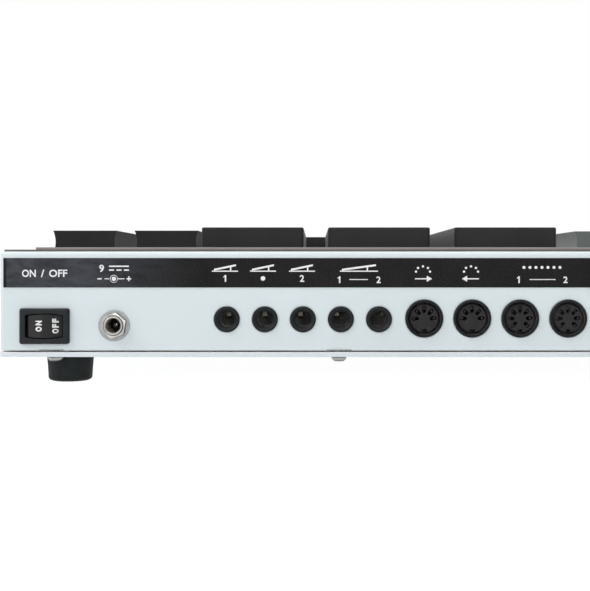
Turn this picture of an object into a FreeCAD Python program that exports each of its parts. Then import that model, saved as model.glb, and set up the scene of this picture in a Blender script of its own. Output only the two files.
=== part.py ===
import FreeCAD, Part
import math
import os

# A two-octave mallet pad controller, in millimetres, +Z up, resting on its feet at z = 0.
# +X is the treble end, -Y the player's side, +Y the rear panel with the sockets.
# The origin is the centre of the whole outline's box, at the bottom.

# Keyboard plan: 15 natural pads, C to C, with the accidentals behind them
NATURAL_COUNT = 15
NATURAL_PITCH = 55.0
PAD_WIDTH = 44.4
NATURAL_LENGTH = 190.0
ACCIDENTAL_LENGTH = 140.0
ROW_GAP = 12.0
REAR_MARGIN = 14.0
FRONT_MARGIN = 16.0
SIDE_MARGIN = 1.1
SIDE_FLARE = 6.0
FUNCTION_WIDTH = 30.0
FUNCTION_LENGTH = 97.0
FUNCTION_CLEAR = 6.0
FUNCTION_SPACING = 8.5
GAP_PAD_WIDTH = 25.0
GAP_PAD_LENGTH = 87.0
PAD_THICKNESS = 8.9
PAD_CORNER = 1.2
PAD_CHAMFER = 0.5
DIE_CUT = 1.1

# Stack of the case
FOOT_HEIGHT = 12.0
BASE_THICKNESS = 2.0
BASE_LIP = 0.5
SEAM = 0.7
COVER_HEIGHT = 41.8
SHEET = 1.5
BEND_RADIUS = 1.4
CORNER_RADIUS = 1.5
FLANGE = 12.0
LAMINATE_THICKNESS = 0.8
OVERLAY_THICKNESS = 1.0
OVERLAY_SIDE = 14.5
OVERLAY_END = 2.6
SENSOR_THICKNESS = 0.25
SENSOR_CLEAR = 0.1
SENSOR_INSET = 7.0

# Feet
FOOT_FROM_SIDE = 25.0
FOOT_FROM_END = 22.0
FOOT_TOP_RADIUS = 10.2
FOOT_TOE_RADIUS = 9.45
FOOT_ROUND = 2.4
FOOT_RECESS_RADIUS = 5.2
FOOT_RECESS = 5.5
FOOT_WASHER = 1.0
FOOT_HEAD_RADIUS = 3.9
FOOT_HEAD = 2.3
FOOT_SCREW_RADIUS = 2.0
FOOT_NUT_ACROSS = 7.0
FOOT_NUT = 3.2

# Case screws and the nuts pressed into the return flange
SCREW_FROM_SIDE = 21.7
SCREW_PITCH = 121.5
SCREW_INSET = 8.0
SCREW_RADIUS = 1.75
SCREW_HEAD_RADIUS = 3.4
SCREW_HEAD = 2.5
NUT_ACROSS = 7.0
NUT_SHANK_ACROSS = 5.2
NUT_RISE = 1.2
THREAD_CLEAR = 0.02
HOLE_CLEAR = 0.25
NOTCH_WIDTH = 10.0
NOTCH_RISE = 0.6

# Rear label strip
LABEL_FROM_SIDE = 1.5
LABEL_LENGTH = 300.0
LABEL_DROP = 2.8
LABEL_HEIGHT = 12.4
LABEL_THICKNESS = 0.3

# Rocker switch
SWITCH_AT = 19.0
SWITCH_FLANGE_GAP = 1.15
BEZEL_WIDTH = 21.0
BEZEL_HEIGHT = 15.0
BEZEL_PROUD = 2.0
BEZEL_BEVEL = 0.7
SWITCH_WIDTH = 19.2
SWITCH_HEIGHT = 12.9
PANEL_CLEAR = 0.1
SNAP_REACH = 0.6
WELL_HALF = 8.0
WELL_BULGE = 0.7
WELL_WALL = 1.1
WELL_DEPTH = 3.0
ROCKER_GAP = 0.25
ROCKER_SIDE_GAP = 0.4
RIDGE_PROUD = 0.3
RIDGE_RADIUS = 8.0
PIVOT_DEPTH = 4.5
ROCKER_TILT = 10.0
FACE_SLOPE = 8.0
ROCKER_SKIRT = 1.1
PIVOT_RADIUS = 1.0
PIVOT_CLEAR = 0.05
PIVOT_REACH = 0.7
STEM_RADIUS = 2.2
STEM_LENGTH = 3.2
PLUNGER_RADIUS = 1.2
PLUNGER_CLEAR = 0.1
PLUNGER_REACH = 4.6
PLUNGER_LENGTH = 3.0
SPRING_ROOM = 3.0
SPRING_WIRE = 0.15
SPRING_TURNS = 4
SEESAW_GAP = 0.3
SEESAW_THICKNESS = 0.5
SEESAW_HALF = 5.4
SEESAW_WIDTH = 4.0
SEESAW_TILT = 5.0
FULCRUM_GAP = 0.1
CONTACT_AT = 4.6
CONTACT_RADIUS = 1.0
CONTACT_HEIGHT = 0.4
CONTACT_GAP = 0.15
CHAMBER_HALF = 6.3
CHAMBER_WIDTH = 6.8
CHAMBER_DEPTH = 8.0
SWITCH_FLOOR = 1.5
BLADE_THICKNESS = 0.8
BLADE_WIDTH = 4.8
BLADE_TAIL = 8.0
BLADE_CLEAR = 0.05

# Power inlet
DC_AT = 48.2
DC_HEIGHT = 10.6
DC_BORE = 3.15
DC_BUSHING_RADIUS = 4.0
DC_PROUD = 3.6
DC_BUSHING_LENGTH = 8.0
DC_BODY_RADIUS = 5.5
DC_BODY_DEPTH = 13.0
DC_BACK_WALL = 1.5
DC_WASHER_RADIUS = 6.35
DC_WASHER = 0.6
DC_NUT_ACROSS = 10.6
DC_NUT = 2.0
DC_NUT_TURN = 20.0
DC_NUT_BEVEL = 0.4
DC_PIN_RADIUS = 1.05
DC_PIN_RECESS = 1.2
DC_TAG = 4.0
DC_SLOT = 0.5

# Quarter-inch pedal jacks
JACK_AT = 95.7
JACK_PITCH = 16.05
JACK_COUNT = 5
JACK_HEIGHT = 13.15
JACK_NOSE_RADIUS = 5.25
JACK_BORE = 3.25
JACK_PROUD = 1.0
JACK_MOUTH = 1.3
JACK_BORE_LENGTH = 9.0
JACK_BODY_WIDTH = 15.4
JACK_BODY_DEPTH = 30.0
JACK_FRONT_HALF = 7.0
JACK_TOP = 8.2
JACK_CHAMBER_HALF = 5.2
JACK_CHAMBER_REACH = 6.2
JACK_WALL = 1.5
LEAF_ROOTS = (7.0, 12.5, 19.8)
LEAF_THICKNESS = 0.4
LEAF_WIDTH = 2.4

# Round multi-pin sockets
DIN_AT = 179.0
DIN_PITCH = 20.25
DIN_PIN_COUNT = (5, 5, 7, 7)
DIN_HEIGHT = 13.5
DIN_SEAT = 9.5
DIN_NOSE_RADIUS = 7.8
DIN_PROUD = 1.2
DIN_POCKET = 6.9
DIN_POCKET_DEPTH = 9.5
DIN_BODY_WIDTH = 18.0
DIN_BODY_DEPTH = 20.0
DIN_FRONT_HALF = 8.6
DIN_INSERT_RADIUS = 6.0
DIN_INSERT_RECESS = 0.5
DIN_WINDOW = 5.5
DIN_PIN_CIRCLE = 4.3
DIN_SLOT_WIDTH = 1.8
DIN_SLOT_LENGTH = 3.0
DIN_SLOT_CORNER = 0.5
DIN_KEY_WIDTH = 2.4
DIN_KEY_DEPTH = 1.5
DIN_KEY_FLOOR = 1.2
DIN_CONTACT = 0.8
DIN_CONTACT_RECESS = 2.4
DIN_TAIL_STEP = 1.4

# Boards
PCB = 1.6
JACK_BOARD_DEPTH = 46.0
JACK_BOARD_END = 20.0
JACK_BOARD_SCREW = 5.0
MAIN_BOARD_AT = 200.0
MAIN_BOARD_WIDTH = 160.0
MAIN_BOARD_LENGTH = 84.0
MAIN_BOARD_FROM_REAR = 62.0
MAIN_BOARD_DROP = 12.0
MAIN_BOARD_SCREW = 5.0
STANDOFF_ACROSS = 6.0
BOARD_SCREW_RADIUS = 1.5
BOARD_SCREW_HEAD = 2.0
BOARD_SCREW_HEAD_RADIUS = 2.8
BOARD_SCREW_GRIP = 6.0
HEADER_HEIGHT = 9.0
HEADER_WIDTH = 6.0
HEADER_END = 4.0
RIBBON_WIDTH = 25.4
RIBBON_THICKNESS = 0.9
RIBBON_BEND = 5.0
TAIL_WIDTH = 25.0
TAIL_THICKNESS = 0.3
TAIL_SPACING = 50.0
TAIL_SLOT = 1.5
LEAD_RADIUS = 0.8
LEAD_BEND = 5.0
LEAD_TURN = 1.5
LEAD_SPACING = 2.6

# Stiffening rails
RAIL_FROM_REAR = (205.0, 305.0)
RAIL_HALF_LENGTH = 370.0
RAIL_DEPTH = 12.0
RAIL_FOOT = 9.0
RAIL_WEB = 10.0
RAIL_SHEET = 1.2

# Flat sides given to small round pieces and their holes, which keeps the model light
HEAD_SIDES = 12
SHANK_SIDES = 8
LEAD_SIDES = 6

# Display
LCD_AT_NOTE = 6.5
LCD_FROM_REAR = 84.0
LCD_VIEW_WIDTH = 40.0
LCD_VIEW_LENGTH = 18.0
LCD_LEDGE = 2.0
LCD_WINDOW_CLEAR = 0.2
LCD_FRAME_DEPTH = 5.0
LCD_FRAME_WALL = 1.0
LCD_FRAME_RIM = 3.0
LCD_GLASS = 2.8
LCD_BOARD_WIDTH = 58.0
LCD_BOARD_LENGTH = 32.0
LCD_SCREW = 3.0
LCD_CABLE_WIDTH = 16.0

# Places that follow from the sizes above
NATURAL_SPAN = (NATURAL_COUNT - 1) * NATURAL_PITCH
REAR_HALF = NATURAL_SPAN / 2 + PAD_WIDTH / 2 + SIDE_MARGIN
CASE_DEPTH = REAR_MARGIN + ACCIDENTAL_LENGTH + ROW_GAP + NATURAL_LENGTH + FRONT_MARGIN
REAR_Y = (CASE_DEPTH + BASE_LIP - DC_PROUD) / 2
FRONT_Y = REAR_Y - CASE_DEPTH
BASE_TOP = FOOT_HEIGHT + BASE_THICKNESS
COVER_Z = BASE_TOP + SEAM
DECK_Z = COVER_Z + COVER_HEIGHT
UNDER_DECK = DECK_Z - SHEET
FLANGE_TOP = COVER_Z + SHEET
LAMINATE_TOP = DECK_Z + LAMINATE_THICKNESS
OVERLAY_TOP = LAMINATE_TOP + OVERLAY_THICKNESS
SWITCH_Z = FLANGE_TOP + NUT_RISE + SWITCH_FLANGE_GAP + SWITCH_HEIGHT / 2
PIVOT_Y = REAR_Y + BEZEL_PROUD + RIDGE_PROUD - PIVOT_DEPTH
DC_Z = COVER_Z + DC_HEIGHT
JACK_Z = COVER_Z + JACK_HEIGHT
DIN_Z = COVER_Z + DIN_HEIGHT
JACK_BOARD_TOP = DIN_Z - DIN_SEAT
MAIN_BOARD_Z = UNDER_DECK - MAIN_BOARD_DROP - PCB
FULCRUM_DEPTH = PLUNGER_REACH + SEESAW_GAP + SEESAW_THICKNESS + FULCRUM_GAP
TAIL_TOP = LAMINATE_TOP - LAMINATE_THICKNESS

V = FreeCAD.Vector
UP = V(0, 0, 1)
OUT = V(0, 1, 0)


def box(x0, x1, y0, y1, z0, z1):
    return Part.makeBox(x1 - x0, y1 - y0, z1 - z0, V(x0, y0, z0))


def upright(x, y, radius, z0, z1):
    return Part.makeCylinder(radius, z1 - z0, V(x, y, z0), UP)


def outward(x, z, radius, y0, y1):
    return Part.makeCylinder(radius, y1 - y0, V(x, y0, z), OUT)


def union(shapes):
    return shapes[0].multiFuse(shapes[1:]).removeSplitter()


def cut(shape, tools):
    return shape.cut(tools)


def prism(points, direction):
    return Part.Face(Part.makePolygon(points + [points[0]])).extrude(direction)


def revolved(points, place, axis):
    """Turns a profile of (radius, height) points about an axis through a place."""
    outline = [V(radius, 0, height) for radius, height in points]
    solid = Part.Face(Part.makePolygon(outline + [outline[0]])).revolve(V(0, 0, 0), UP, 360)
    solid.Placement = FreeCAD.Placement(place, FreeCAD.Rotation(UP, axis))
    return solid


def many_sided(sides, across, place, axis, height, turn=0.0):
    """A prism with equal flat sides, sized by the distance across two opposite ones."""
    corner = across / 2 / math.cos(math.pi / sides)
    angles = [math.tau * side / sides + math.radians(turn) for side in range(sides)]
    solid = prism([V(corner * math.cos(a), corner * math.sin(a), 0) for a in angles], V(0, 0, height))
    solid.Placement = FreeCAD.Placement(place, FreeCAD.Rotation(UP, axis))
    return solid


def small_round(x, y, radius, z0, z1):
    return many_sided(SHANK_SIDES, 2 * radius, V(x, y, z0), UP, z1 - z0)


def edges_along(shape, direction, keep=None):
    """Straight edges parallel to a direction, of which keep() may pick some by their middle."""
    found = []
    for edge in shape.Edges:
        run = edge.Vertexes[-1].Point.sub(edge.Vertexes[0].Point)
        if edge.Curve.TypeId != "Part::GeomLine" or run.cross(direction).Length > 1e-6:
            continue
        if keep is None or keep(edge.CenterOfMass):
            found.append(edge)
    return found


def edges_at_height(shape, z):
    return [e for e in shape.Edges if all(abs(v.Z - z) < 1e-6 for v in e.Vertexes)]


def strip(points, thickness, bend, width, to_place):
    """A bent strip through (u, v) points, with arcs at the bends or mitres where bend is 0."""
    sides = []
    for half in (thickness / 2, -thickness / 2):
        edges = []
        start = None
        last = len(points) - 1
        for index, (u, v) in enumerate(points):
            here = V(u, v, 0)
            back = (here - V(*points[index - 1], 0)).normalize() if index else None
            ahead = (V(*points[index + 1], 0) - here).normalize() if index < last else None
            if index in (0, last):
                along = ahead if index == 0 else back
                end = here + V(-along.y, along.x, 0) * half
                if start is not None:
                    edges.append(Part.LineSegment(start, end).toShape())
                start = end
                continue
            if not bend:
                mitre = V(-back.y - ahead.y, back.x + ahead.x, 0) / (1 + back.dot(ahead))
                edges.append(Part.LineSegment(start, here + mitre * half).toShape())
                start = here + mitre * half
                continue
            turn = math.atan2(back.cross(ahead).z, back.dot(ahead))
            side = math.copysign(1, turn)
            reach = bend * math.tan(abs(turn) / 2)
            centre = here - back * reach + V(-back.y, back.x, 0) * side * bend
            radius = bend - side * half
            first = centre - V(-back.y, back.x, 0) * side * radius
            final = centre - V(-ahead.y, ahead.x, 0) * side * radius
            middle = centre + (here - centre).normalize() * radius
            edges.append(Part.LineSegment(start, first).toShape())
            edges.append(Part.Arc(first, middle, final).toShape())
            start = final
        sides.append(edges)
    near, far = sides
    ends = [Part.LineSegment(near[n].Vertexes[n].Point, far[n].Vertexes[n].Point).toShape() for n in (0, -1)]
    outline = Part.Wire(Part.__sortEdges__(near + far + ends))
    solid = Part.Face(outline).extrude(V(0, 0, width))
    solid.transformShape(to_place)
    return solid


def side_on(x, y, z):
    """Lays a strip's u along +Y and its v along +Z, with its width from x towards +X."""
    turn = FreeCAD.Rotation(V(0, 1, 0), V(0, 0, 1), V(1, 0, 0), "ZXY")
    return FreeCAD.Placement(V(x, y, z), turn).toMatrix()


def front_on(x, y, z):
    """Lays a strip's u along +X and its v along +Z, with its width from y towards -Y."""
    turn = FreeCAD.Rotation(V(1, 0, 0), V(0, 0, 1), V(0, -1, 0), "ZXY")
    return FreeCAD.Placement(V(x, y, z), turn).toMatrix()


def lead(points, radius, bend):
    """An insulated wire along straight runs joined by tangent arcs."""
    edges = []
    start = points[0]
    for index in range(1, len(points) - 1):
        here = points[index]
        back = (here - points[index - 1]).normalize()
        ahead = (points[index + 1] - here).normalize()
        reach = bend * math.tan(back.getAngle(ahead) / 2)
        first = here - back * reach
        final = here + ahead * reach
        inward = (ahead - back).normalize()
        centre = here + inward * math.hypot(reach, bend)
        edges.append(Part.LineSegment(start, first).toShape())
        edges.append(Part.Arc(first, centre - inward * bend, final).toShape())
        start = final
    edges.append(Part.LineSegment(start, points[-1]).toShape())
    turn = FreeCAD.Rotation(UP, points[1] - points[0])
    angles = [math.tau * side / LEAD_SIDES for side in range(LEAD_SIDES)]
    corners = [points[0] + turn.multVec(V(radius * math.cos(a), radius * math.sin(a), 0)) for a in angles]
    ring = Part.Wire(Part.makePolygon(corners + [corners[0]]))
    return Part.Wire(edges).makePipeShell([ring], True, True)


def half_width(depth):
    """Half the case's width, at a distance in front of the rear face."""
    return REAR_HALF + depth * math.tan(math.radians(SIDE_FLARE))


def plan_prism(z0, z1, side, rear, front, corner):
    """The case's plan, drawn in by side, rear and front, between two heights."""
    drawn_in = side / math.cos(math.radians(SIDE_FLARE))
    near = half_width(rear) - drawn_in
    far = half_width(CASE_DEPTH - front) - drawn_in
    y_rear = REAR_Y - rear
    y_front = FRONT_Y + front
    points = [V(near, y_rear, z0), V(-near, y_rear, z0), V(-far, y_front, z0), V(far, y_front, z0)]
    solid = prism(points, V(0, 0, z1 - z0))
    return solid.makeFillet(corner, edges_along(solid, UP)) if corner else solid


def from_treble(distance):
    return REAR_HALF - distance


def natural_x(note):
    return note * NATURAL_PITCH - NATURAL_SPAN / 2


def accidental_xs():
    """Accidentals sit between two naturals, apart from the gaps after E and B."""
    return [natural_x(n + 0.5) for n in range(NATURAL_COUNT - 1) if n % 7 not in (2, 6)]


def gap_xs():
    return [natural_x(n + 0.5) for n in range(NATURAL_COUNT - 1) if n % 7 == 2]


def function_xs():
    first = accidental_xs()[-1] + PAD_WIDTH / 2 + FUNCTION_CLEAR + FUNCTION_WIDTH / 2
    return [first, first + FUNCTION_WIDTH + FUNCTION_SPACING]


def accidental_front():
    return REAR_Y - REAR_MARGIN - ACCIDENTAL_LENGTH


def pad_plans():
    """Each row of pads as its width, its length, its front edge and its places along X."""
    return {
        "natural_pads": (PAD_WIDTH, NATURAL_LENGTH, FRONT_Y + FRONT_MARGIN,
                         [natural_x(n) for n in range(NATURAL_COUNT)]),
        "accidental_pads": (PAD_WIDTH, ACCIDENTAL_LENGTH, accidental_front(), accidental_xs()),
        "function_pads": (FUNCTION_WIDTH, FUNCTION_LENGTH, accidental_front(), function_xs()),
        "gap_pads": (GAP_PAD_WIDTH, GAP_PAD_LENGTH, accidental_front(), gap_xs()),
    }


def moulded_pad(x, y, width, length):
    """A rubber bar with eased upright corners and a chamfered top rim."""
    top = OVERLAY_TOP + PAD_THICKNESS
    pad = box(x - width / 2, x + width / 2, y, y + length, OVERLAY_TOP, top)
    pad = pad.makeChamfer(PAD_CORNER, edges_along(pad, UP))
    return pad.makeChamfer(PAD_CHAMFER, edges_at_height(pad, top))


def die_cut_pad(x, y, width, length):
    """A foam block whose long sides draw in between the two faces, as a die leaves them."""
    half = width / 2
    bottom = OVERLAY_TOP
    top = bottom + PAD_THICKNESS
    waist = bottom + PAD_THICKNESS * 0.4
    foot = half - DIE_CUT * 0.6
    right = Part.Arc(V(x + foot, y, bottom), V(x + half - DIE_CUT, y, waist), V(x + half, y, top))
    left = Part.Arc(V(x - half, y, top), V(x - half + DIE_CUT, y, waist), V(x - foot, y, bottom))
    edges = [Part.LineSegment(V(x - foot, y, bottom), V(x + foot, y, bottom)).toShape(), right.toShape(),
             Part.LineSegment(V(x + half, y, top), V(x - half, y, top)).toShape(), left.toShape()]
    return Part.Face(Part.Wire(edges)).extrude(V(0, length, 0))


def pads():
    shapes = {}
    for name, (width, length, y, xs) in pad_plans().items():
        make = moulded_pad if name in ("natural_pads", "accidental_pads") else die_cut_pad
        shapes[name] = [make(x, y, width, length) for x in xs]
    return shapes


def sensor_boxes(grow, height):
    """One patch under each pad, lying on the laminate."""
    patches = []
    for width, length, y, xs in pad_plans().values():
        half = width / 2 - SENSOR_INSET + grow
        for x in xs:
            patches.append(box(x - half, x + half, y + SENSOR_INSET - grow, y + length - SENSOR_INSET + grow,
                               LAMINATE_TOP, LAMINATE_TOP + height))
    return patches


def lcd_centre():
    return natural_x(LCD_AT_NOTE), REAR_Y - LCD_FROM_REAR


def lcd_block(width, length, z0, z1):
    x, y = lcd_centre()
    return box(x - width / 2, x + width / 2, y - length / 2, y + length / 2, z0, z1)


def lcd_window_size(clear):
    return LCD_VIEW_WIDTH + 2 * LCD_LEDGE + 2 * clear, LCD_VIEW_LENGTH + 2 * LCD_LEDGE + 2 * clear


def window_cut():
    width, length = lcd_window_size(LCD_WINDOW_CLEAR)
    return lcd_block(width, length, DECK_Z - 1, OVERLAY_TOP + 1)


def sensor_board():
    return plan_prism(DECK_Z, LAMINATE_TOP, BEND_RADIUS, BEND_RADIUS, BEND_RADIUS,
                      CORNER_RADIUS).cut(window_cut())


def overlay_sheet():
    sheet = plan_prism(LAMINATE_TOP, OVERLAY_TOP, OVERLAY_SIDE, OVERLAY_END, OVERLAY_END, CORNER_RADIUS)
    return cut(sheet, sensor_boxes(SENSOR_CLEAR, SENSOR_THICKNESS + SENSOR_CLEAR) + [window_cut()])


def case_screw_points():
    """Seven screws along the rear, seven along the front and one in each side."""
    outer = [REAR_HALF - SCREW_FROM_SIDE - n * SCREW_PITCH for n in range(3)]
    xs = outer + [0.0] + [-x for x in outer]
    points = [(x, REAR_Y - SCREW_INSET) for x in xs] + [(x, FRONT_Y + SCREW_INSET) for x in xs]
    side = half_width(CASE_DEPTH / 2) - SCREW_INSET / math.cos(math.radians(SIDE_FLARE))
    return points + [(side, REAR_Y - CASE_DEPTH / 2), (-side, REAR_Y - CASE_DEPTH / 2)]


def foot_points():
    rear = REAR_HALF - FOOT_FROM_SIDE
    front = half_width(CASE_DEPTH - FOOT_FROM_END) - FOOT_FROM_SIDE
    y_rear = REAR_Y - FOOT_FROM_END
    y_front = FRONT_Y + FOOT_FROM_END
    return [(rear, y_rear), (-rear, y_rear), (front, y_front), (-front, y_front)]


def jack_xs():
    return [from_treble(JACK_AT + n * JACK_PITCH) for n in range(JACK_COUNT)]


def din_xs():
    return [from_treble(DIN_AT + n * DIN_PITCH) for n in range(len(DIN_PIN_COUNT))]


def tail_points():
    """Where the two sensor tails drop from the deck to the main board."""
    y = REAR_Y - MAIN_BOARD_FROM_REAR - MAIN_BOARD_LENGTH / 2
    return [(MAIN_BOARD_AT - TAIL_SPACING, y), (MAIN_BOARD_AT + TAIL_SPACING, y)]


def rear_openings():
    """The cut-outs in the rear wall for the switch, the inlet and the sockets."""
    inner = REAR_Y - SHEET - 1
    outer = REAR_Y + 1
    half_w = SWITCH_WIDTH / 2 + PANEL_CLEAR
    half_h = SWITCH_HEIGHT / 2 + PANEL_CLEAR
    switch_x = from_treble(SWITCH_AT)
    tools = [box(switch_x - half_w, switch_x + half_w, inner, outer, SWITCH_Z - half_h, SWITCH_Z + half_h),
             outward(from_treble(DC_AT), DC_Z, DC_BUSHING_RADIUS + PANEL_CLEAR, inner, outer)]
    tools += [outward(x, JACK_Z, JACK_NOSE_RADIUS + HOLE_CLEAR, inner, outer) for x in jack_xs()]
    tools += [outward(x, DIN_Z, DIN_NOSE_RADIUS + HOLE_CLEAR, inner, outer) for x in din_xs()]
    return tools


def flange_relief():
    """A square relief notch at each corner, where the return flange's bends meet."""
    drawn_in = FLANGE / math.cos(math.radians(SIDE_FLARE))
    near = half_width(FLANGE) - drawn_in
    far = half_width(CASE_DEPTH - FLANGE) - drawn_in
    corners = [(near, REAR_Y - FLANGE), (-near, REAR_Y - FLANGE), (far, FRONT_Y + FLANGE), (-far, FRONT_Y + FLANGE)]
    half = BEND_RADIUS
    return [box(x - half, x + half, y - half, y + half, COVER_Z - 1, FLANGE_TOP) for x, y in corners]


def top_cover():
    """Folded sheet: deck, four walls and a return flange that the bottom plate screws to."""
    outside = plan_prism(COVER_Z, DECK_Z, 0, 0, 0, CORNER_RADIUS)
    outside = outside.makeFillet(BEND_RADIUS, edges_at_height(outside, DECK_Z))
    inside = plan_prism(FLANGE_TOP, UNDER_DECK, SHEET, SHEET, SHEET, 0)
    mouth = plan_prism(COVER_Z - 1, FLANGE_TOP + 1, FLANGE, FLANGE, FLANGE, 0)
    shell = cut(outside, [inside, mouth] + flange_relief())
    tools = rear_openings()
    for x, y in case_screw_points():
        tools.append(many_sided(6, NUT_SHANK_ACROSS + 2 * THREAD_CLEAR, V(x, y, COVER_Z - 1), UP, SHEET + 2))
        if y > REAR_Y - FLANGE:
            tools.append(box(x - NOTCH_WIDTH / 2, x + NOTCH_WIDTH / 2, REAR_Y - SHEET / 2, REAR_Y + 1,
                             COVER_Z - 1, COVER_Z + NOTCH_RISE))
    tools.append(lcd_block(LCD_VIEW_WIDTH, LCD_VIEW_LENGTH, UNDER_DECK - 1, DECK_Z + 1))
    for x, y in tail_points():
        half = TAIL_WIDTH / 2 + TAIL_SLOT
        tools.append(box(x - half, x + half, y - TAIL_SLOT, y + TAIL_SLOT, UNDER_DECK - 1, DECK_Z + 1))
    return cut(shell, tools)


def bottom_plate():
    plate = plan_prism(FOOT_HEIGHT, BASE_TOP, -BASE_LIP, -BASE_LIP, -BASE_LIP, CORNER_RADIUS + BASE_LIP)
    low = FOOT_HEIGHT - 1
    high = BASE_TOP + 1
    holes = [small_round(x, y, SCREW_RADIUS + HOLE_CLEAR, low, high) for x, y in case_screw_points()]
    holes += [small_round(x, y, FOOT_SCREW_RADIUS + HOLE_CLEAR, low, high) for x, y in foot_points()]
    return cut(plate, holes)


def pan_screw(x, y, seat, tip, radius, head_radius, head):
    """A plain pan-head screw that points up from a seat, with its head below."""
    cap = many_sided(HEAD_SIDES, 2 * head_radius, V(x, y, seat - head), UP, head)
    shank = many_sided(SHANK_SIDES, 2 * radius, V(x, y, seat), UP, tip - seat)
    return union([cap, shank])


def case_screws():
    tip = FLANGE_TOP + NUT_RISE
    return [pan_screw(x, y, FOOT_HEIGHT, tip, SCREW_RADIUS, SCREW_HEAD_RADIUS, SCREW_HEAD)
            for x, y in case_screw_points()]


def clinch_nuts():
    """Low nuts whose hexagonal shank is pressed into the flange from above."""
    low = COVER_Z + SHEET * 0.1
    top = FLANGE_TOP + NUT_RISE
    nuts = []
    for x, y in case_screw_points():
        body = union([many_sided(6, NUT_SHANK_ACROSS, V(x, y, low), UP, FLANGE_TOP - low),
                      many_sided(6, NUT_ACROSS, V(x, y, FLANGE_TOP), UP, NUT_RISE)])
        nuts.append(body.cut(small_round(x, y, SCREW_RADIUS + THREAD_CLEAR, low - 1, top + 1)))
    return nuts


def rubber_foot(x, y):
    """A tapered foot with an eased rim, and a recess below for its screw and washer."""
    toe = FOOT_TOE_RADIUS - FOOT_ROUND
    profile = [(0, 0), (toe, 0), (toe + FOOT_ROUND * 0.71, FOOT_ROUND * 0.29), (FOOT_TOE_RADIUS, FOOT_ROUND),
               (FOOT_TOP_RADIUS, FOOT_HEIGHT), (0, FOOT_HEIGHT)]
    foot = revolved(profile, V(x, y, 0), UP)
    return cut(foot, [small_round(x, y, FOOT_RECESS_RADIUS, -1, FOOT_RECESS),
                      small_round(x, y, FOOT_SCREW_RADIUS + HOLE_CLEAR, -1, FOOT_HEIGHT + 1)])


def foot_parts():
    """Rubber feet with the washer, screw and nut that hold each one."""
    washer_low = FOOT_RECESS - FOOT_WASHER
    nut_top = BASE_TOP + FOOT_NUT
    feet, washers, screws, nuts = [], [], [], []
    for x, y in foot_points():
        feet.append(rubber_foot(x, y))
        washer = small_round(x, y, FOOT_RECESS_RADIUS - HOLE_CLEAR, washer_low, FOOT_RECESS)
        washers.append(washer.cut(small_round(x, y, FOOT_SCREW_RADIUS + HOLE_CLEAR, 0, FOOT_HEIGHT)))
        screws.append(pan_screw(x, y, washer_low, nut_top + 1, FOOT_SCREW_RADIUS, FOOT_HEAD_RADIUS, FOOT_HEAD))
        nut = many_sided(6, FOOT_NUT_ACROSS, V(x, y, BASE_TOP), UP, FOOT_NUT)
        nuts.append(nut.cut(small_round(x, y, FOOT_SCREW_RADIUS + THREAD_CLEAR, BASE_TOP - 1, nut_top + 1)))
    return {"feet": feet, "foot_washers": washers, "foot_screws": screws, "foot_nuts": nuts}


def label_strip():
    right = from_treble(LABEL_FROM_SIDE)
    top = DECK_Z - LABEL_DROP
    return box(right - LABEL_LENGTH, right, REAR_Y, REAR_Y + LABEL_THICKNESS, top - LABEL_HEIGHT, top)


def deck_rails():
    """Hat sections with their two feet flat against the underside of the deck."""
    high = UNDER_DECK - RAIL_SHEET / 2
    low = UNDER_DECK - RAIL_DEPTH + RAIL_SHEET / 2
    slope = RAIL_WEB + RAIL_SHEET
    points = [(-slope - RAIL_FOOT, high), (-slope, high), (-RAIL_WEB, low), (RAIL_WEB, low), (slope, high),
              (slope + RAIL_FOOT, high)]
    return [strip(points, RAIL_SHEET, 0, 2 * RAIL_HALF_LENGTH, side_on(-RAIL_HALF_LENGTH, REAR_Y - depth, 0))
            for depth in RAIL_FROM_REAR]


def in_switch(shape):
    """Moves a shape drawn about the rocker's pivot to the switch's place."""
    shape.translate(V(from_treble(SWITCH_AT), PIVOT_Y, SWITCH_Z))
    return shape


def barrel(half_length, mid_half, bulge, y0, y1):
    """A block along Y whose upper and lower faces bulge in the middle, as a rocker's opening does."""
    end = mid_half - bulge
    arcs = [Part.Arc(V(half_length, y0, end), V(0, y0, mid_half), V(-half_length, y0, end)).toShape(),
            Part.Arc(V(-half_length, y0, -end), V(0, y0, -mid_half), V(half_length, y0, -end)).toShape()]
    sides = [Part.LineSegment(V(-half_length, y0, end), V(-half_length, y0, -end)).toShape(),
             Part.LineSegment(V(half_length, y0, -end), V(half_length, y0, end)).toShape()]
    wire = Part.Wire([arcs[0], sides[0], arcs[1], sides[1]])
    return Part.Face(wire).extrude(V(0, y1 - y0, 0))


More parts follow.
